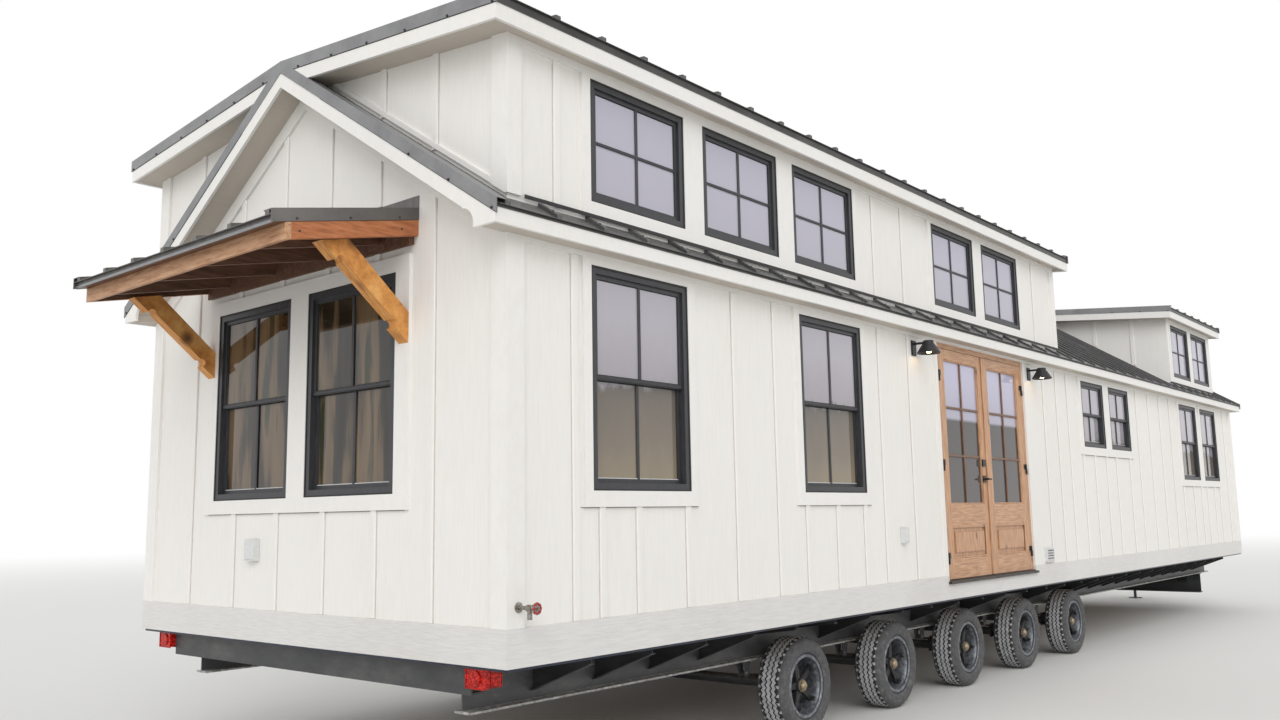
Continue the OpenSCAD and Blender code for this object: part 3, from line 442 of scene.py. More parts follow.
half_tyre = [(220, 88), (229, 92), (232, 100), (235, 105), (239, 108), (245, 112), (253, 116.5), (262, 119),
             (266, 120.5), (272, 119.5), (288, 120), (304, 118.5), (306, 116.5), (312, 116), (326, 109),
             (338, 99), (343, 92), (345, 86)]
tread = []
for groove in (62, 21, -21, -62):
    tread += [(348, groove + 6), (338, groove + 4), (338, groove - 4), (348, groove - 6)]
other_half = [(out, -along) for out, along in reversed(half_tyre)]
tyre_section = half_tyre + [(347, 78)] + tread + [(347, -78)] + other_half
# The grooves zigzag from step to step, and every third step notches the shoulders.
tyre_steps, zigzag, notch = 108, 0.0075, 0.978
tyre = ring_of("tyre", tyre_section, tyre_steps)
for corner in tyre.data.vertices:
    out = math.hypot(corner.co.x, corner.co.z)
    turn = round(math.atan2(corner.co.z, corner.co.x) / (2 * math.pi) * tyre_steps)
    along = abs(corner.co.y)
    if out > 0.3375 and along < 0.07:
        corner.co.y += zigzag if turn % 2 else -zigzag
    if out > 0.337 and 0.077 < along < 0.1 and turn % 3 == 0:
        corner.co.x *= notch
        corner.co.z *= notch
smooth(tyre, 32)
# Faces in the tread's grooves and in the ring where the tyre meets the rim take near-black rubber: painted
# shade in these recesses.
for face in tyre.data.polygons:
    out = math.hypot(face.center.x, face.center.z)
    in_groove = 0.33 < out < 0.346 and abs(face.center.y) < 0.076
    face.material_index = 1 if in_groove or 0.229 < out < 0.234 else 2 if out > 0.3445 else 0

rim_section = [(199, 60), (199, -60), (212, -84), (203, -92), (203, -101), (207, -105), (224, -106),
               (230, -101), (226, -96), (218, -92), (218, -84), (206, -60), (206, 60), (218, 84), (218, 92),
               (226, 96), (230, 101), (224, 106), (207, 105), (203, 101), (203, 92), (212, 84)]
hub_section = [(0.2, 66), (44, 66), (50, 60), (53, 20), (53, -56), (31, -56), (31, 62), (0.2, 62)]
drum_section = [(136, -34), (140, -38), (140, -66), (136, -70), (56, -70), (56, -62), (128, -62), (128, -40),
                (56, -40), (56, -34)]
cap_section = [(0.2, 97), (14, 97), (26, 93), (30, 88), (31, 84), (37, 82), (38, 78), (38, 64), (0.2, 64)]
parts = [ring_of(name, section, steps) for name, section, steps in (
    ("rim_barrel", rim_section, 72), ("hub_barrel", hub_section, 36), ("brake_drum", drum_section, 48),
    ("hub_cap", cap_section, 36))]


def eased_cylinder(name, sides, radius, depth, ease, segments=1, spot=(0, 0, 0)):
    """A short cylinder along Z with eased rims, all in mm."""
    bpy.ops.object.select_all(action="DESELECT")
    bpy.ops.mesh.primitive_cylinder_add(vertices=sides, radius=radius / 1000, depth=depth / 1000,
                                        location=Vector(spot) / 1000)
    piece = bpy.context.object
    piece.name = name
    bpy.ops.object.transform_apply(location=True, rotation=True, scale=True)
    return eased(piece, ease, segments)


from_corner = Matrix.Translation(-house(0, 0, 0))
arm_start, arm_end = 40, 203
arm = board("arm", (arm_start, -24, 18), (arm_end, 24, 46), 3)
clamp = board("clamp", (174, -15, 42), (205, 15, 59), 3)
for piece in (arm, clamp):
    piece.data.transform(from_corner)
for corner in arm.data.vertices:
    corner.co.y *= 1.05 - 0.36 * (corner.co.x * 1000 - arm_start) / (arm_end - arm_start)
nut = eased_cylinder("nut", 6, 11.5, 14, 1.2, spot=(168, 0, 66))
stud = eased_cylinder("stud", 12, 6, 30, 1, spot=(168, 0, 70))
spoke = joined("spoke", [arm, clamp, nut, stud])
lay_down = Matrix.Rotation(math.radians(-90), 4, "X")
for i in range(5):
    turned = Matrix.Rotation(math.radians(72 * i), 4, "Y") @ lay_down
    parts.append(copy_at(spoke, "spoke_%d" % i, turned))
bpy.data.objects.remove(spoke)
rim = joined("rim", parts)
smooth(rim, 35)


def rubber(name, clean, worn, dusty):
    """Black rubber under road dust."""
    finish, tree, shader = new_finish(name, worn, 0.72)
    scuffs = mottle(tree, on_piece(tree), 26, 9, 0.7)
    coloured(tree, shader, scuffs, (0.3, clean), (0.52, worn), (0.74, dusty))
    shine(tree, shader, scuffs, 0.55, 0.9)
    relief(tree, shader, mottle(tree, on_piece(tree), 240, 4), 0.0007, 0.5)
    return finish


tyre_finish = rubber("worn_tyre_rubber", (0.05, 0.051, 0.054), (0.085, 0.085, 0.088), (0.17, 0.167, 0.163))
tread_finish = rubber("dusty_tread_rubber", (0.22, 0.223, 0.232), (0.42, 0.423, 0.435), (0.66, 0.655, 0.65))
# Near-black rubber for the grooves and the bead ring: painted shade.
groove_shade_finish = rubber("shaded_groove_rubber", (0.012, 0.012, 0.013), (0.022, 0.022, 0.023),
                       (0.06, 0.058, 0.056))

iron_finish = clouded(
    "black_hub_iron", (0.035, 0.035, 0.037), (0.55, 0.3), (1, 1, 1), (40, 8, 0.7),
    (0.35, (0.018, 0.018, 0.02)), (0.58, (0.045, 0.043, 0.043)), (0.76, (0.12, 0.1, 0.085)),
    bumps=(0.001, 0.6))
rim_finish = clouded(
    "painted_rim_steel", (0.27, 0.285, 0.31), (0.33, 0.6), (1, 1, 1), (30, 9, 0.7),
    (0.35, (0.09, 0.096, 0.11)), (0.55, (0.21, 0.222, 0.245)), (0.74, (0.44, 0.44, 0.45)),
    shines=(0.22, 0.6), bumps=(0.0006, 0.5))
cap_finish = clouded(
    "dull_brass_cap", (0.42, 0.33, 0.22), (0.42, 0.8), (1, 1, 1), (60, 6), (0.35, (0.28, 0.21, 0.13)),
    (0.7, (0.5, 0.42, 0.3)), shines=(0.3, 0.6))
for piece, finishes in ((rim, (rim_finish, cap_finish, iron_finish)),
                        (tyre, (tyre_finish, groove_shade_finish, tread_finish))):
    for finish in finishes:
        piece.data.materials.append(finish)
for face in rim.data.polygons:
    out = math.hypot(face.center.x, face.center.z)
    in_cap = out < 0.0385 and face.center.y > 0.0635
    face.material_index = 1 if in_cap else 2 if out < 0.1975 else 0
first_axle, axle_pitch, axle_z, turn_each = 3142, 1403, -492, 0.37
for row, y in (("near", 310), ("far", 3610)):
    for i in range(5):
        node = "wheel_%s_%d" % (row, i + 1)
        place = Matrix.Translation(house(first_axle + axle_pitch * i, y, axle_z))
        place = place @ Matrix.Rotation(turn_each * i, 4, "Y")
        if row == "near":
            place = place @ Matrix.Rotation(math.pi, 4, "Z")
        for piece, kind, slot in ((tyre, "tyre", "tyre"), (rim, "rim", "frame_steel")):
            part = copy_at(piece, "%s_%s_%d" % (kind, row, i + 1), place)
            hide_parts(node)
            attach(part, node)
bpy.data.objects.remove(tyre)
bpy.data.objects.remove(rim)


# Floor and lofts: boards on the joists, seen through the doors and windows
# Softwood about 140 mm wide, laid along the house with staggered ends and a thin dark joint.
plank_finish, tree, shader = new_finish("floor_boards", (0.36, 0.25, 0.15), 0.5)
planks = tree.nodes.new("ShaderNodeTexBrick")
for name, value in (("Scale", 1), ("Brick Width", 1.8), ("Row Height", 0.14), ("Mortar Size", 0.002),
                    ("Color1", (0.34, 0.23, 0.13, 1)), ("Color2", (0.44, 0.31, 0.19, 1)),
                    ("Mortar", (0.1, 0.06, 0.03, 1))):
    planks.inputs[name].default_value = value
tree.links.new(on_piece(tree), planks.inputs["Vector"])
tree.links.new(planks.outputs["Color"], shader.inputs["Base Color"])
relief(tree, shader, mottle(tree, on_piece(tree, (2, 40, 40)), 4, 8), 0.0008, 0.5)
finish_nodes(plank_finish, "floor_deck", "loft_floors")


# Siding: primed panels with an embossed cedar grain, painted warm white
# Panels stand on the floor rim and are nailed to the studs; the wall's solids carry them.
def embossed_white(name, stretch, light, deep, depth):
    """White paint over an embossed grain that runs the way the stretch is small."""
    finish, tree, shader = new_finish(name, light, 0.55)
    grain = mottle(tree, on_piece(tree, stretch), 9, 9, 0.62)
    broad = mottle(tree, on_piece(tree, (0.7, 0.7, 0.25)), 1.3, 5)
    both = tree.nodes.new("ShaderNodeMix")
    both.inputs["Factor"].default_value = 0.45
    tree.links.new(grain, both.inputs["A"])
    tree.links.new(broad, both.inputs["B"])
    coloured(tree, shader, both.outputs["Result"], (0.34, deep), (0.56, light))
    shine(tree, shader, grain, 0.42, 0.7)
    relief(tree, shader, grain, depth, 0.7)
    return finish


siding = embossed_white("embossed_siding", (7, 7, 0.55), (0.83, 0.815, 0.785), (0.785, 0.765, 0.73), 0.0014)
finish_nodes(siding, "door_wall_tail", "door_wall_hitch", "door_wall_header", "back_wall", "tail_wall",
             "hitch_wall", "dormer_walls")

# Skirt boards: wide rough-sawn boards round the bottom of the walls
# Spruce, painted with the walls, nailed over the siding's foot; the grain runs along.
rough_sawn = embossed_white("rough_sawn_boards", (0.9, 0.9, 11), (0.715, 0.705, 0.685), (0.625, 0.61, 0.59),
                            0.004)
finish_nodes(rough_sawn, "skirt_boards")

# Corner boards, friezes, casings and fascias: smooth boards painted whiter than the walls
# 20 mm boards with eased edges, nailed on; the fascias close the rafters' ends.
trim_paint = embossed_white("smooth_white_boards", (2.5, 2.5, 1.2), (0.83, 0.817, 0.79),
                            (0.79, 0.772, 0.742), 0.0007)
finish_nodes(trim_paint, "wall_trim", "fascias")

# Roof slabs: rafters with boarded soffits, white paint below, coloured a darker warm beige as painted shade
# under the eaves with light bounced from brown ground
# The boards' joints run along the eaves; the ribbed sheets cover them above.
shaded_soffit_paint = embossed_white("soffit_boards_in_shade", (0.6, 5, 5), (0.56, 0.505, 0.44), (0.5, 0.45, 0.39), 0.0012)
finish_nodes(shaded_soffit_paint, "roof_front", "roof_back", "dormer_roofs")


# Battens: narrow strips over the panels' joints and studs
# 50 x 14 mm, eased, nailed through the siding; each stops at the board above and below it.
batten_paint = embossed_white("painted_battens", (6, 6, 0.7), (0.83, 0.816, 0.787), (0.787, 0.77, 0.737),
                              0.0009)
ridge, main_pitch, upper_pitch, mid = 3730.28, 0.643, 0.0955, 1960


def main_roof(y):
    """Height of the main roof slab's top, at a distance across the house."""
    return ridge - main_pitch * abs(y - mid)


def upper_roof(y):
    """Height of the dormer roof slab's top."""
    return ridge - upper_pitch * abs(y - mid)


def trimmed(piece, point, normal):
    """Cut by a plane; the side that the normal points to goes, and the cut is closed."""
    bpy.ops.object.select_all(action="DESELECT")
    piece.select_set(True)
    bpy.context.view_layer.objects.active = piece
    bpy.ops.object.mode_set(mode="EDIT")
    bpy.ops.mesh.select_all(action="SELECT")
    bpy.ops.mesh.bisect(plane_co=point, plane_no=normal, use_fill=True, clear_outer=True)
    bpy.ops.object.mode_set(mode="OBJECT")
    return piece


# Darker strips beside the upright battens: painted shade along their sides.
batten_shade_lines = []


def shade_lined(battens):
    """A thin darker strip along both sides of every upright batten, as painted shade."""
    for batten in battens:
        corners = [(corner.co - house(0, 0, 0)) * 1000 for corner in batten.data.vertices]
        low, high = [[pick(corner[i] for corner in corners) for i in range(3)] for pick in (min, max)]
        thin, wide = (1, 0) if high[1] - low[1] < 20 else (0, 1)
        # On the door wall and the tail wall a batten's front is its low side, 12.5 mm in front of the bead's
        face = low[thin] + 12.5 if low[thin] < 0 else low[thin]
        for beside in (low[wide] - 5, high[wide] - 1):
            start, end = list(low), list(high)
            start[thin], end[thin] = face - 0.5, face + 2
            start[wide], end[wide] = beside, beside + 6
            start[2], end[2] = low[2] + 3, high[2] - 26
            batten_shade_lines.append(board("bead", start, end, 0.8))
    return battens


def side_batten(x, z0, z1, far=False):
    """A batten on the door wall or the back wall."""
    y0, y1 = (house_wide, house_wide + 14) if far else (-14, 0)
    return board("batten", (x, y0, z0), (x + 50, y1, z1), 3)


batten_foot, batten_head, dormer_foot = 200, 2250, 2501
tail_part, hitch_part = [483, 2029, 2524, 4060, 4585], [10908, 11430, 11935, 12418, 15440]
main_sill, kitchen_sill, room_sill = 815, 1361, 1042
under_windows = {main_sill: [700, 1020, 1490, 2886, 3310, 3720],
                 kitchen_sill: [8790, 9180, 9590, 9960, 10480],
                 room_sill: [12850, 13380, 13800, 14130, 14560, 14890]}
near = [side_batten(x, batten_foot, batten_head) for x in tail_part + [8048, 8388] + hitch_part]
near += [side_batten(x, batten_foot, z) for z, places in under_windows.items() for x in places]
near.append(side_batten(7666, batten_foot, batten_head))
far_places = tail_part + list(range(5190, 9871, 520)) + [10373] + hitch_part
far = [side_batten(x, batten_foot, batten_head, True) for x in far_places]
far += [side_batten(x, batten_foot, z, True) for z, places in under_windows.items() for x in places
        if z != kitchen_sill]
group("battens_door_wall", shade_lined(near), batten_paint)
group("battens_back_wall", shade_lined(far), batten_paint)
upper = [side_batten(x, dormer_foot, 3366, far) for far in (False, True) for x in (348, 4060, 4572, 7560)]
group("battens_long_dormer", shade_lined(upper), batten_paint)


def end_batten(x0, x1, y, z0, roof, drop):
    """An end wall's batten, cut off to the slope of the roof above it."""
    high = max(roof(y), roof(y + 50)) - drop
    piece = board("batten", (x0, y, z0), (x1, y + 50, high + 5), 3)
    slope = (roof(y + 50) - roof(y)) / 50
    return trimmed(piece, house(x0, y, roof(y) - drop), Vector((0, -slope, 1)).normalized())


# The friezes are 112 mm high and start 136 mm below the roof slab's top; dormer walls end 130 mm below.
frieze, frieze_head, dormer_head = 112, 136, 130
under_frieze = frieze_head + frieze
tail = [end_batten(-14, 0, y, batten_foot, main_roof, under_frieze) for y in (592, 3278)]
for y in (1115, 1640, 2165, 2690):
    tail.append(board("batten", (-14, y, batten_foot), (0, y + 50, 818), 3))
    tail.append(board("batten", (-14, y, 2307), (0, y + 50, 2356), 2))
    tail.append(end_batten(-14, 0, y, 2645, main_roof, under_frieze))
for y in (584, 1085, 2785, 3286):
    tail.append(end_batten(-14, 0, y, main_roof(y) + 40, upper_roof, dormer_head))
group("battens_tail_wall", shade_lined(tail), batten_paint)
hitch = [end_batten(house_long, house_long + 14, y, batten_foot, main_roof, under_frieze)
         for y in (520, 1040, 1560, 1935, 2310, 2830, 3350)]
group("battens_hitch_wall", shade_lined(hitch), batten_paint)
cheeks = [end_batten(x, x + 14, y, main_roof(y if y > mid else y + 50) + 6, upper_roof, dormer_head)
          for x in (8190, 12604, 14955) for y in (430, 950, 2920, 3440)]
group("battens_dormer_ends", cheeks, batten_paint)
# The strips beside the battens take a darker warm grey: painted shade.
batten_shade_finish = embossed_white("painted_batten_shade", (9, 9, 2), (0.64, 0.61, 0.57), (0.5, 0.47, 0.43), 0.0004)
group("batten_shade_strips", batten_shade_lines, batten_shade_finish)
# Dark strips under the windows' sill casings: a painted shadow line below each, broken by the battens.
sill_shadow_finish = embossed_white("painted_sill_shadow", (9, 9, 2), (0.26, 0.24, 0.22), (0.14, 0.13, 0.12), 0.0004)
sill_shadow_lines = []
for x0, x1, z in ((552, 1628, main_sill), (2778, 3854, main_sill), (8745, 10650, kitchen_sill),
                  (12802, 14998, room_sill)):
    sill_shadow_lines.append(board("joint", (x0, -2.5, z - 5), (x1, 1, z), 0.8))
    if z != kitchen_sill:
        sill_shadow_lines.append(board("joint", (x0, house_wide - 1, z - 5), (x1, house_wide + 2.5, z), 0.8))
sill_shadow_lines.append(board("joint", (-2.5, 857, 813), (1, 3063, 818), 0.8))
group("sill_shadow_lines", sill_shadow_lines, sill_shadow_finish)


# Raking friezes: the sloped boards under the main roof's overhang on both end walls
# 20 mm boards ending against the corner boards; on the tail wall a strip also follows the flashing.
def raking(name, x0, x1, y0, y1, roof, above, height):
    """A board with upright ends whose edges follow a roof."""
    sign = 1 if y1 > y0 else -1
    piece = board(name, (x0, min(y0, y0 + sign * 4), roof(y0) + above),
                  (x1, max(y0, y0 + sign * 4), roof(y0) + above + height), 0.8)
    bpy.ops.object.mode_set(mode="EDIT")
    bpy.ops.mesh.select_all(action="DESELECT")
    bpy.ops.object.mode_set(mode="OBJECT")
    end = house(0, y0 + sign * 2, 0).y
    for corner in piece.data.vertices:
        corner.select = (corner.co.y - end) * sign > 0
    bpy.ops.object.mode_set(mode="EDIT")
    bpy.context.tool_settings.mesh_select_mode = (True, False, False)
    run = (y1 - y0 - sign * 4) / 1000
    bpy.ops.transform.translate(value=(0, run, (roof(y1) - roof(y0)) / 1000))
    bpy.ops.object.mode_set(mode="OBJECT")
    return piece


friezes = []
for x0, x1 in ((-20, 0), (house_long, house_long + 20)):
    for y0, y1 in ((108, mid), (3812, mid)):
        friezes.append(raking("frieze", x0, x1, y0, y1, main_roof, -under_frieze, frieze))
for y0, y1 in ((108, 1700), (3812, 2220)):
    friezes.append(raking("strip", -18, 0, y0, y1, main_roof, 34, 36))
group("raking_friezes", friezes, trim_paint)


# Roofing: ribbed steel sheets, screwed down, painted charcoal
# Sheets run from ridge to eave with a rib every 381 mm; rain leaves faint streaks down them.
roof_finish, tree, shader = new_finish("charcoal_roof_sheet", (0.1, 0.1, 0.102), 0.36, 0.45)
streaks = mottle(tree, on_piece(tree, (9, 0.6, 0.6)), 3, 7, 0.6)
coloured(tree, shader, streaks, (0.3, (0.085, 0.085, 0.086)), (0.6, (0.12, 0.12, 0.12)),
         (0.8, (0.19, 0.187, 0.183)))
shine(tree, shader, streaks, 0.26, 0.5)
relief(tree, shader, mottle(tree, on_piece(tree), 120, 3), 0.0005, 0.3)
finish_nodes(roof_finish, "lower_roofing", "upper_roofing")

# Roof trims: folded grey steel along the rakes, ridges and eaves
# 0.5 mm steel, its lower edge hemmed; hex-headed screws hold it to the rake boards.
fold_finish, tree, shader = new_finish("grey_folded_steel", (0.22, 0.222, 0.228), 0.36, 0.3)
film_marks = mottle(tree, on_piece(tree, (1.5, 1.5, 1.5)), 3, 8, 0.6)
coloured(tree, shader, film_marks, (0.35, (0.19, 0.192, 0.198)), (0.65, (0.26, 0.262, 0.268)))
shine(tree, shader, film_marks, 0.28, 0.5)
relief(tree, shader, mottle(tree, on_piece(tree), 9, 3), 0.0015, 0.25)
# Faces that look across the house, on the eaves' trims, are near black: painted shade, while the rakes' trims
# keep their lit grey.
eave_faces_in_shade = worked_out(tree, "GREATER_THAN", worked_out(tree, "ABSOLUTE", facing(tree, "Y")), 0.9)
painted_over(tree, shader, eave_faces_in_shade,
             tones(tree, film_marks, (0.35, (0.03, 0.029, 0.028)), (0.65, (0.07, 0.067, 0.064))))
finish_nodes(fold_finish, "metal_trim")

screw = eased_cylinder("hex_screw", 6, 6.5, 9, 1)
bpy.ops.object.mode_set(mode="EDIT")
bpy.ops.mesh.primitive_cylinder_add(vertices=10, radius=0.0095, depth=0.003, location=(0, 0, -0.003))
bpy.ops.object.mode_set(mode="OBJECT")
screw_finish = clouded(
    "dark_screw_steel", (0.06, 0.06, 0.064), (0.4, 0.6), (1, 1, 1), (300, 4), (0.35, (0.035, 0.035, 0.038)),
    (0.7, (0.1, 0.1, 0.1)))
towards_tail = Matrix.Rotation(math.radians(-90), 4, "Y")
towards_hitch = Matrix.Rotation(math.radians(90), 4, "Y")
screws = []
for x, turned, roof, places in (
        (-213, towards_tail, main_roof, (-110, 240, 590)),
        (-213, towards_tail, upper_roof, (-110, 260, 640, 1010, 1380, 1750)),
        (8347, towards_hitch, upper_roof, (-110, 260, 640)),
        (12411, towards_tail, upper_roof, (-110, 260, 640)),
        (15162, towards_hitch, upper_roof, (-110, 260, 640)),
        (16113, towards_hitch, main_roof, (-110, 240, 590, 940, 1290, 1640))):
    for y in places:
        for across_y in (y, house_wide - y):
            spot = house(x, across_y, roof(y) - 44)
            screws.append(copy_at(screw, "rake_screw", Matrix.Translation(spot) @ turned))
group("rake_screws", screws, screw_finish)

# Shadow strips: the dark lines below the folded trims and along the eaves, painted shadow
# The rakes' trims are hemmed 4 mm clear of the boards and a near-black strip paints the shadow in that gap;
# the roof sheets' front edges are folded down, and a strip paints the shade under them.
shadow_strips = []
for y0, y1 in ((-148, 1500), (4068, 2420)):
    shadow_strips.append(raking("hem", -209, -205, y0, y1, main_roof, -55, 4))
    shadow_strips.append(raking("hem", 16105, 16109, y0, 1960, main_roof, -55, 4))
    shadow_strips.append(raking("hem", -209, -205, y0, 1960, upper_roof, -55, 4))
for y0, y1 in ((-142, -138), (4058, 4062)):
    edge = main_roof(-138)
    shadow_strips.append(board("fold", (-200, y0, edge - 9), (16100, y1, edge), 1))
    edge = upper_roof(-138)
    shadow_strips.append(board("fold", (-200, y0, edge - 8), (8336, y1, edge), 1))
    shadow_strips.append(board("fold", (12420, y0, edge - 8), (15153, y1, edge), 1))
group("trim_shadow_strips", shadow_strips, rubber_and_shade_black)

# Sheet screws: rows of capped screws across the roof sheets, in the flats beside the ribs
# Every 600 mm down the slope and beside each rib; the same hex head with its washer.
screws = []


def sheet_rows(roof, slope, x0, x1, places):
    """Screws beside each rib from x0 to x1, in rows down both slopes of a roof."""
    first_rib, pitch, beside = -150, 381, 19
    for far in (False, True):
        for y in places:
            tilt = Matrix.Rotation(math.atan(slope) * (-1 if far else 1), 4, "X")
            x = first_rib + pitch * math.ceil((x0 - first_rib) / pitch) + beside
            while x < x1:
                spot = house(x, house_wide - y if far else y, roof(y) + 27.5)
                screws.append(copy_at(screw, "sheet_screw", Matrix.Translation(spot) @ tilt))
                x += pitch


sheet_rows(upper_roof, upper_pitch, -120, 8300, (-100, 560, 1220, 1860))
sheet_rows(upper_roof, upper_pitch, 12450, 15120, (-100, 560, 1220, 1860))
sheet_rows(main_roof, main_pitch, 40, 15860, (-100,))
sheet_rows(main_roof, main_pitch, 8400, 12380, (460, 1060, 1660))
group("sheet_screws", screws, screw_finish)
bpy.data.objects.remove(screw)

# Wall flashing: the dark folded strip where the low roof sheets run under the dormer walls
# Steel, tucked behind the wall's trim and dressed down over the ribs; its near-black colour is painted shade
# at the wall's foot.
flashings = [board("flashing", (x0, y, 2490), (x1, y + 4, 2513), 1)
             for x0, x1 in ((108, 8190), (12618, 14955)) for y in (-24, house_wide + 20)]
group("wall_flashings", flashings, rubber_and_shade_black)


# Windows: charcoal frames with a slim sash, one upright bar and a meeting rail or cross bar
# Extruded vinyl frames, screwed into the openings; bars are stuck to both sides of the panes.
frame_finish = clouded(
    "charcoal_window_frame", (0.036, 0.037, 0.041), (0.42,), (4, 4, 1), (12, 6),
    (0.3, (0.03, 0.031, 0.035)), (0.7, (0.047, 0.048, 0.053)), shines=(0.32, 0.52))
finish_nodes(frame_finish, "window_frames")

pane_finish, tree, shader = new_finish("window_panes", (0.4, 0.38, 0.44), 0.03)
shader.inputs["Transmission Weight"].default_value = 0.18
shader.inputs["IOR"].default_value = 1.5
shader.inputs["Specular IOR Level"].default_value = 0.7
# The panes' colour follows height: painted reflections, pale lilac sky in the upper panes over a dark band,
# and brown ground with the lit room below.
wander = mottle(tree, on_piece(tree, (1.2, 1.2, 0.6)), 2.5, 12, 0.75)
level = scaled(tree, worked_out(tree, "MULTIPLY_ADD", wander, 0.35, own(tree, "Z")), 1.6, 4.6)
coloured(tree, shader, level.outputs["Result"], (0.03, (0.46, 0.37, 0.22)), (0.2, (0.24, 0.2, 0.155)),
         (0.312, (0.17, 0.148, 0.125)), (0.324, (0.42, 0.395, 0.43)), (0.45, (0.52, 0.495, 0.555)),
         (0.9, (0.56, 0.545, 0.655)))
# The tail wall's panes are painted over with dark brown upright streaks: painted shade and reflections in the
# glass.
tail_pane_streaks = mottle(tree, on_piece(tree, (1.7, 1.7, 0.22)), 2.3, 4, 0.5)
painted_over(tree, shader, band(tree, "X", -100, 150),
             tones(tree, tail_pane_streaks, (0.38, (0.012, 0.008, 0.005)), (0.45, (0.035, 0.028, 0.017)),
                   (0.5, (0.15, 0.1, 0.058)), (0.57, (0.19, 0.13, 0.075)), (0.62, (0.05, 0.05, 0.028)),
                   (0.7, (0.03, 0.036, 0.02))))
finish_nodes(pane_finish, "window_glass")

# Each opening: its left edge, width, sill and head, and its wall; the narrow pair is on the door wall only.
window_head, narrow = 2210, 764
openings = []
for x, width, sill in ((640, 900, 907), (2866, 900, 907), (8833, narrow, 1453), (9798, narrow, 1453),
                       (12890, 890, 1134), (14020, 890, 1134)):
    for wall in ("door",) if width == narrow else ("door", "back"):
        openings.append((x, width, sill, window_head, wall))
openings += [(x, 915, 910, 2213, "tail") for x in (945, 2060)]
dormer_openings = [(x, 893, 2590.1, 3345.1, wall) for x in (645, 1740, 2840, 5148, 6240, 12803.5, 13876.5)
                   for wall in ("door", "back")]
bars, spacers, gaskets = [], [], []


def across(x0, x1, y0, y1, z0, z1, wall, ease):
    """A bar in front of the door wall, or moved to the back wall or the tail wall."""
    if wall == "door":
        return board("bar", (x0, y0, z0), (x1, y1, z1), ease)
    if wall == "back":
        return board("bar", (x0, house_wide - y1, z0), (x1, house_wide - y0, z1), ease)
    return board("bar", (y0, house_wide - x1, z0), (y1, house_wide - x0, z1), ease)


def framed(x0, x1, y0, y1, z0, z1, side, foot, head, wall):
    """Four thin bars inside an opening: head and foot full width, the sides between them."""
    return [across(a0, a1, y0, y1, b0, b1, wall, 1.5) for a0, a1, b0, b1 in (
        (x0, x1, z1 - head, z1), (x0, x1, z0, z0 + foot), (x0, x0 + side, z0 + foot, z1 - head),
        (x1 - side, x1, z0 + foot, z1 - head))]


def gasket(x0, x1, z0, z1, y, wall):
    """A black bead where a pane meets its sash."""
    gaskets.extend(framed(x0, x1, y, y + 8, z0, z1, 6, 6, 6, wall))


# The frame and sash cover 70 mm round each opening, and what is stuck to the panes stops 1 mm short of them.
sash, glued = 70, 71


def hung_bars(x, width, sill, head, wall):
    """A hung window: an upright bar on both panes, gaskets, the meeting rail's front and the pale spacers."""
    meet = (sill + head) / 2
    centre = x + width / 2
    gasket(x + sash, x + width - sash, meet + 13, head - sash, 12, wall)
    gasket(x + sash, x + width - sash, sill + sash, meet - 13, 36, wall)
    for y0, y1, z0, z1 in ((5, 15, meet + 13, head - glued), (21, 30, meet + 13, head - glued),
                           (30, 40, sill + glued, meet - 13), (46, 55, sill + glued, meet - 13)):
        bars.append(across(centre - 11, centre + 11, y0, y1, z0, z1, wall, 2.5))
    bars.append(across(x + 45, x + width - 45, 0, 6, meet - 9, meet + 9, wall, 2.5))
    foot = sill + glued
    for x0 in (x + glued, centre + 11):
        spacers.append(across(x0, x0 + width / 2 - glued - 11, 32, 40, foot, foot + 6, wall, 1))


def fixed_bars(x, width, sill, head, wall):
    """A dormer window: an upright bar and a cross bar on both sides of its one pane."""
    middle = (sill + head) / 2
    centre = x + width / 2
    gasket(x + sash, x + width - sash, sill + sash, head - sash, 12, wall)
    for y0, y1 in ((5, 15), (21, 30)):
        bars.append(across(centre - 11, centre + 11, y0, y1, sill + glued, head - glued, wall, 2.5))
        bars.append(across(x + glued, x + width - glued, y0 + 1, y1 - 1, middle - 10, middle + 10, wall, 2.5))


for opening in openings:
    hung_bars(*opening)
for opening in dormer_openings:
    fixed_bars(*opening)
bar_finish = clouded(
    "black_window_bars", (0.028, 0.028, 0.032), (0.45,), (4, 4, 1), (14, 6), (0.3, (0.022, 0.022, 0.026)),
    (0.7, (0.04, 0.04, 0.045)))
group("window_bars", bars, bar_finish)
group("pane_gaskets", gaskets, rubber_and_shade_black)
spacer_finish = clouded(
    "pale_spacer_strip", (0.62, 0.62, 0.62), (0.3,), (1, 1, 30), (20, 4), (0.3, (0.55, 0.55, 0.56)),
    (0.7, (0.68, 0.68, 0.67)))
group("pane_spacers", spacers, spacer_finish)

# Outer beads: the thin black edge between each window frame and its casing boards
# Bent from black trim, seen as a dark line round every frame.
beads = []
for x, width, sill, head, wall in openings + dormer_openings:
    beads += framed(x, x + width, -17, -12, sill, head, 9, 9, 12, wall)
group("frame_edges", beads, rubber_and_shade_black)


# Double door: two stile-and-rail leaves with six lights each over a raised panel
# Knotty alder, clear-coated; rails run across between the stiles, and the frame is the same wood.
def knotted(tree, shader, stretch, core, rim, strength, colour):
    """Dark knots over the base colour, full strength inside the core and gone at the rim."""
    knots = tree.nodes.new("ShaderNodeTexVoronoi")
    knots.inputs["Scale"].default_value = 1
    tree.links.new(on_piece(tree, stretch), knots.inputs["Vector"])
    spot = scaled(tree, knots.outputs["Distance"], core, rim, strength, 0)
    painted_over(tree, shader, spot.outputs["Result"], colour)


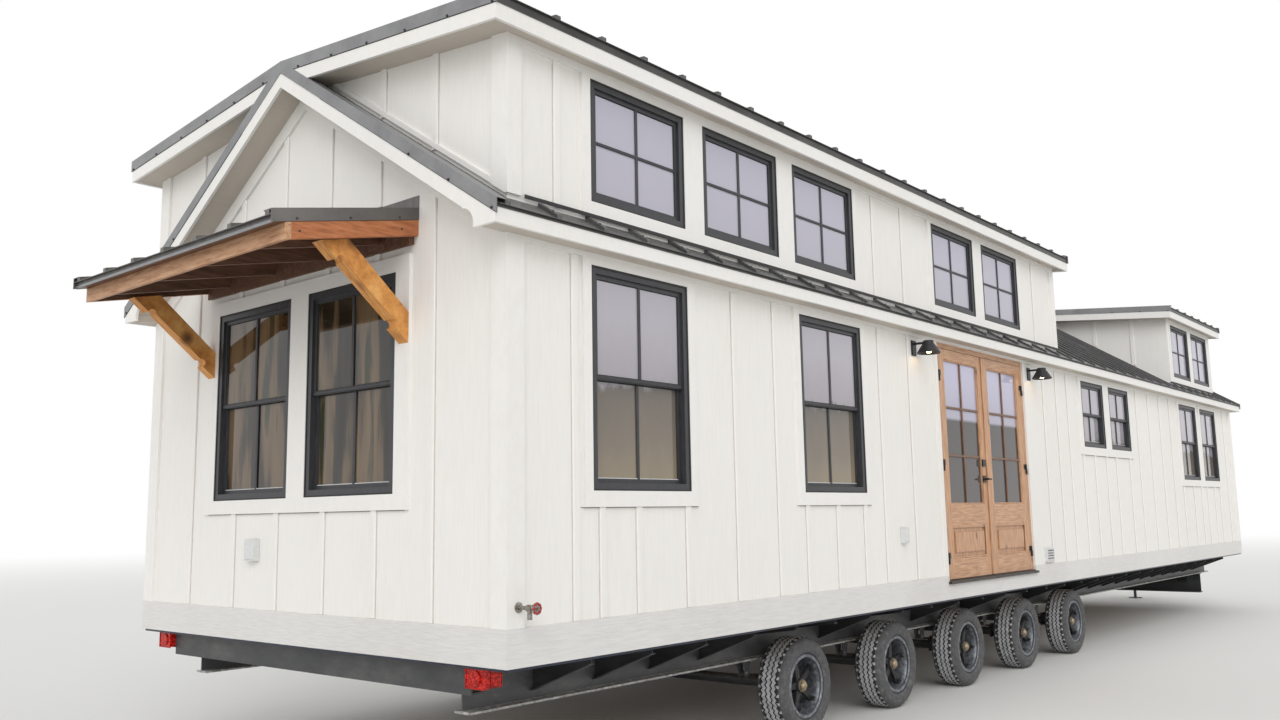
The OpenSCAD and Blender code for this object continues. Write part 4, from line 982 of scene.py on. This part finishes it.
def door_timber(name, left_edge):
    """Clear-coated wood; grain runs up the stiles and the panel, and along the rails."""
    finish, tree, shader = new_finish(name, (0.4, 0.24, 0.12), 0.45)

    def above(axis, place):
        """1 beyond a house place on an axis."""
        edge = house(place, place, place)["XYZ".index(axis)]
        return worked_out(tree, "GREATER_THAN", own(tree, axis), edge)

    def within(axis, low, high):
        """1 between two house places on an axis."""
        return worked_out(tree, "SUBTRACT", above(axis, low), above(axis, high))

    if left_edge is None:
        rails = above("Z", 2211)
    else:
        lower = worked_out(tree, "ADD", within("Z", 0, 340), within("Z", 618, 816))
        rails = worked_out(tree, "MULTIPLY", within("X", left_edge + 110, left_edge + 826.5),
                           worked_out(tree, "ADD", lower, above("Z", 2112)))
    pick = tree.nodes.new("ShaderNodeMix")
    tree.links.new(rails, pick.inputs["Factor"])
    tree.links.new(mottle(tree, on_piece(tree, (14, 14, 0.9)), 6, 8, 0.65), pick.inputs["A"])
    tree.links.new(mottle(tree, on_piece(tree, (0.9, 14, 14)), 6, 8, 0.65), pick.inputs["B"])
    grain = pick.outputs["Result"]
    coloured(tree, shader, grain, (0.28, (0.25, 0.115, 0.05)), (0.45, (0.46, 0.24, 0.125)),
             (0.58, (0.58, 0.33, 0.18)), (0.75, (0.66, 0.42, 0.25)))
    knotted(tree, shader, (5, 5, 2.6), 0.05, 0.13, 0.75, (0.1, 0.045, 0.02))
    shine(tree, shader, grain, 0.32, 0.55)
    relief(tree, shader, grain, 0.0009, 0.5)
    shader.inputs["Coat Weight"].default_value = 0.15
    return finish


frame_wood = door_timber("alder_frame", None)
finish_nodes(frame_wood, "door_frame")
bronze_sill = clouded(
    "dark_bronze_sill", (0.06, 0.048, 0.038), (0.4, 0.6), (1, 10, 10), (10, 6),
    (0.35, (0.04, 0.033, 0.028)), (0.7, (0.1, 0.085, 0.07)))
finish_nodes(bronze_sill, "door_sill")

door_glass, tree, shader = new_finish("door_panes", (0.35, 0.34, 0.38), 0.03)
shader.inputs["Transmission Weight"].default_value = 0.2
shader.inputs["IOR"].default_value = 1.5
# The lights' colour follows height: dark brown in the lower lights, painted shade of the room, and pale lilac
# in the upper ones, a painted reflection of the sky.
level = scaled(tree, own(tree, "Z"), 1.6, 3.0)
coloured(tree, shader, level.outputs["Result"], (0.1, (0.105, 0.092, 0.09)), (0.575, (0.085, 0.076, 0.074)),
         (0.595, (0.52, 0.5, 0.62)), (0.9, (0.64, 0.63, 0.8)))
finish_nodes(door_glass, "left_leaf_glass", "right_leaf_glass")

bar_wood = clouded(
    "shaded_bar_wood", (0.16, 0.08, 0.045), (0.45,), (10, 10, 1), (9, 7), (0.3, (0.1, 0.05, 0.03)),
    (0.7, (0.24, 0.13, 0.075)), bumps=(0.0006, 0.5))
lights_foot, lights_head, panel_foot, panel_head = 816, 2112, 340, 618
for name, left_edge, body in (("left", 5187, "left_door"), ("right", 6131.5, "right_door")):
    wood = door_timber("alder_" + name, left_edge)
    finish_nodes(wood, name + "_leaf")
    x0, x1 = left_edge + 110, left_edge + 826.5
    middle = (x0 + x1) / 2
    upright, crossing, sticking, raised = [], [], [], []
    for y0, y1 in ((6, 20), (26, 40)):
        upright.append(board("bar", (middle - 12, y0, lights_foot), (middle + 12, y1, lights_head), 4, 2))
        for z in (1248, 1680):
            crossing.append(board("bar", (x0, y0 + 1, z - 11), (x1, y1 - 1, z + 11), 4, 2))
        sticking += surround("bead", (x0, y0 - 3, lights_foot), (x1, y1, lights_head), 12, 4, 2)
    for y0, y1, field_y0, field_y1 in ((-3, 8, -3, 0.5), (37, 48, 44.5, 48)):
        raised += surround("moulding", (x0, y0, panel_foot), (x1, y1, panel_head), 14, 4.5, 2)
        low, high = (x0 + 52, field_y0, panel_foot + 52), (x1 - 52, field_y1, panel_head - 52)
        raised.append(board("field", low, high, 3, 2))
    group(name + "_leaf_bars", upright + crossing, bar_wood, body)
    group(name + "_leaf_beads", sticking, wood, body)
    group(name + "_leaf_panel", raised, wood, body)

# The astragal: a moulded strip on the left leaf that covers the gap where the leaves meet
astragal = board("astragal", (6098, -12, 168), (6128, -0.5, 2203), 4, 2)
group("astragal", [astragal], frame_wood, "left_door")

black_steel = clouded(
    "satin_black_steel", (0.018, 0.019, 0.021), (0.38, 0.4), (1, 1, 1), (60, 6),
    (0.3, (0.013, 0.014, 0.016)), (0.75, (0.04, 0.041, 0.044)), shines=(0.28, 0.5))
finish_nodes(black_steel, "door_hinges", "left_leaf_hardware", "right_leaf_hardware", "wall_lamps")


# Awning: a lean-to of sawn rafters on two knee braces, with a ribbed sheet roof
# Cedar-toned stain, redder on the outer boards; between them the boards are painted near brown as painted
# shade under the roof; braces cut from thicker timber.
def stained(name, stretch, dark, middle, light, knot):
    """Stained softwood with grain along the small stretch and dark knots."""
    finish, tree, shader = new_finish(name, middle, 0.6)
    grain = mottle(tree, on_piece(tree, stretch), 5, 8, 0.66)
    coloured(tree, shader, grain, (0.3, dark), (0.5, middle), (0.68, light))
    knotted(tree, shader, tuple(max(3.2, 0.6 * s) for s in stretch), 0.08, 0.2, knot, (0.09, 0.035, 0.015))
    shine(tree, shader, grain, 0.45, 0.75)
    relief(tree, shader, grain, 0.0018, 0.7)
    return finish, tree, shader


rafter_stain, tree, shader = stained("red_stained_boards", (1.1, 9, 9), (0.23, 0.072, 0.027),
                                     (0.43, 0.148, 0.054), (0.54, 0.225, 0.1), 0.5)
# Under the roof, between the outer boards: painted shade in near brown.
inner_boards_in_shade = worked_out(tree, "MULTIPLY", band(tree, "Y", 797, 3123), band(tree, "X", -827, 100))
shaded_grain = mottle(tree, on_piece(tree, (1.1, 9, 9)), 5, 8, 0.66)
painted_over(tree, shader, inner_boards_in_shade,
             tones(tree, shaded_grain, (0.35, (0.085, 0.04, 0.023)), (0.65, (0.19, 0.095, 0.055))))
front_grain = mottle(tree, on_piece(tree, (9, 0.9, 9)), 5, 8, 0.66)
painted_over(tree, shader, band(tree, "X", -900, -829),
             tones(tree, front_grain, (0.32, (0.3, 0.13, 0.06)), (0.5, (0.52, 0.29, 0.16)),
                   (0.7, (0.66, 0.42, 0.27))))
finish_nodes(rafter_stain, "awning_frame")
brace_stain = stained("amber_stained_braces", (1.6, 9, 1.6), (0.36, 0.12, 0.025), (0.64, 0.28, 0.065),
                      (0.78, 0.42, 0.14), 0.85)[0]
finish_nodes(brace_stain, "awning_braces")

awning_finish, tree, shader = new_finish("awning_sheet", (0.14, 0.135, 0.13), 0.4, 0.35)
weather = mottle(tree, on_piece(tree, (0.6, 9, 0.6)), 3, 7, 0.6)
coloured(tree, shader, weather, (0.3, (0.11, 0.105, 0.1)), (0.7, (0.19, 0.18, 0.17)))
awning_top, awning_pitch = 2495, 0.2083
level = worked_out(tree, "MULTIPLY_ADD", own(tree, "X"), -awning_pitch, own(tree, "Z"))
deck_face = house(0, 0, awning_top + 3).z - awning_pitch * house(0, 0, 0).x
deck_grain = mottle(tree, on_piece(tree, (9, 0.9, 9)), 4, 8, 0.66)
painted_over(tree, shader, worked_out(tree, "LESS_THAN", level, deck_face),
             tones(tree, deck_grain, (0.35, (0.09, 0.045, 0.025)), (0.65, (0.2, 0.1, 0.055))))
shine(tree, shader, weather, 0.3, 0.6)
finish_nodes(awning_finish, "awning_roof")

head = eased_cylinder("screw_head", 8, 7, 6, 2, 2)
towards_door = Matrix.Rotation(math.radians(90), 4, "X")
towards_back = Matrix.Rotation(math.radians(-90), 4, "X")
spots = []
for x in (-800, -470, -140):
    z = awning_top + awning_pitch * x
    spots += [(x, 754, z + 18, towards_door), (x, 3166, z + 18, towards_back)]
    if x != -470:
        spots.append((x + 20, 759, z - 46, towards_door))
spots += [(-21, y, z, towards_tail) for y in (830, 3030) for z in (1812, 1868)]
heads = [copy_at(head, "awning_screw", Matrix.Translation(house(x, y, z)) @ turned)
         for x, y, z, turned in spots]
group("awning_screws", heads, screw_finish)
bpy.data.objects.remove(head)

# The drip edge: a grey folded strip on the front edge of the awning's deck
drip_finish = clouded(
    "pale_drip_steel", (0.42, 0.43, 0.45), (0.35, 0.35), (2, 2, 8), (6, 6), (0.3, (0.2, 0.205, 0.215)),
    (0.7, (0.3, 0.305, 0.32)), shines=(0.25, 0.5))
z = awning_top - awning_pitch * 930
group("awning_drip", [board("drip", (-934, 756, z + 2), (-930, 3164, z + 20), 1)], drip_finish)


# Wall lamps: black barn shades on short arms, with a small frosted bulb in each
# Spun steel shades on cast plates screwed to the wall.
bulb_finish, tree, shader = new_finish("frosted_warm_bulb", (0.9, 0.75, 0.5), 0.4)
shader.inputs["Emission Color"].default_value = (1.0, 0.68, 0.34, 1)
shader.inputs["Emission Strength"].default_value = 16
frost = mottle(tree, on_piece(tree), 200, 3)
coloured(tree, shader, frost, (0.3, (0.85, 0.7, 0.45)), (0.7, (0.95, 0.82, 0.6)))
lamps = (4717, 7313)
bulb_section = [(0.2, 0), (14, 2), (24, 10), (30, 24), (30, 34), (24, 48), (15, 60), (13, 76), (0.2, 76)]
bulbs = []
for x in lamps:
    bulb = ring_of("bulb", bulb_section, 24)
    bulb.data.transform(Matrix.Translation(house(x, -142, 2094)) @ towards_door)
    bulbs.append(bulb)
bulbs = joined("lamp_bulbs", bulbs)
smooth(bulbs, 60)
settle(bulbs, "house", bulb_finish)
plates = [board("plate_rim", (x - 42, -6, 2083), (x + 42, 0, 2217), 2.5, 2) for x in lamps]
group("lamp_plates", plates, black_steel)


# Outlet covers and vent box: pale moulded plastic on the walls
# Hinged weather covers, screwed over the outlets; the vent box has slatted louvres.
cover_finish = clouded(
    "pale_grey_plastic", (0.68, 0.69, 0.68), (0.4,), (1, 1, 1), (40, 6), (0.3, (0.62, 0.63, 0.63)),
    (0.7, (0.72, 0.73, 0.72)))
finish_nodes(cover_finish, "service_boxes")
covers = [
    board("cover", (4318, -46, 512), (4387, -38, 626), 4, 3),
    board("cover", (4312, -8, 500), (4393, -1, 636), 2),
    board("cover", (-46, 2391, 520), (-38, 2503, 645), 4, 3),
    board("cover", (-8, 2383, 507), (-1, 2511, 655), 2),
]
group("outlet_covers", covers, cover_finish)
slots = [board("louvre", (7450, -35, z), (7606, -30, z + 6), 1) for z in range(252, 350, 26)]
group("vent_shadow_slats", slots, rubber_and_shade_black)


# Hose tap: a plated tap with a red scalloped handwheel, on the corner board
# Brass body with worn plating; the handwheel is a painted casting held by a screw.
tap_finish = clouded(
    "worn_plated_brass", (0.3, 0.28, 0.25), (0.28, 0.95), (1, 1, 1), (70, 7), (0.35, (0.2, 0.16, 0.1)),
    (0.6, (0.36, 0.35, 0.34)), shines=(0.2, 0.5))
finish_nodes(tap_finish, "hose_tap")
red_casting = clouded(
    "red_painted_casting", (0.5, 0.03, 0.03), (0.4,), (1, 1, 1), (120, 6), (0.3, (0.24, 0.008, 0.01)),
    (0.6, (0.45, 0.018, 0.022)))
wheel = ring_of("tap_handwheel", [(24, -5), (31, -7), (35, -4), (36, 0), (35, 4), (31, 7), (24, 5)], 48)
for corner in wheel.data.vertices:
    out = math.hypot(corner.co.x, corner.co.z)
    lobe = 1 + 0.09 * math.cos(8 * math.atan2(corner.co.z, corner.co.x)) * (out > 0.028)
    corner.co.x *= lobe
    corner.co.z *= lobe
hub = ring_of("tap_hub", [(0.2, -9), (8, -9), (10, -6), (10, 6), (0.2, 6)], 20)
webs = []
for i in range(4):
    web = board("web", (7, -3, -4), (27, 3, 4), 1.2)
    web.data.transform(Matrix.Rotation(math.radians(90 * i + 20), 4, "Y") @ from_corner)
    webs.append(web)
wheel = joined("tap_handwheel", [wheel, hub] + webs)
wheel.data.transform(Matrix.Scale(0.85, 4))
wheel.data.transform(Matrix.Translation(house(60, -158, 305)))
smooth(wheel, 40)
settle(wheel, "house", red_casting)
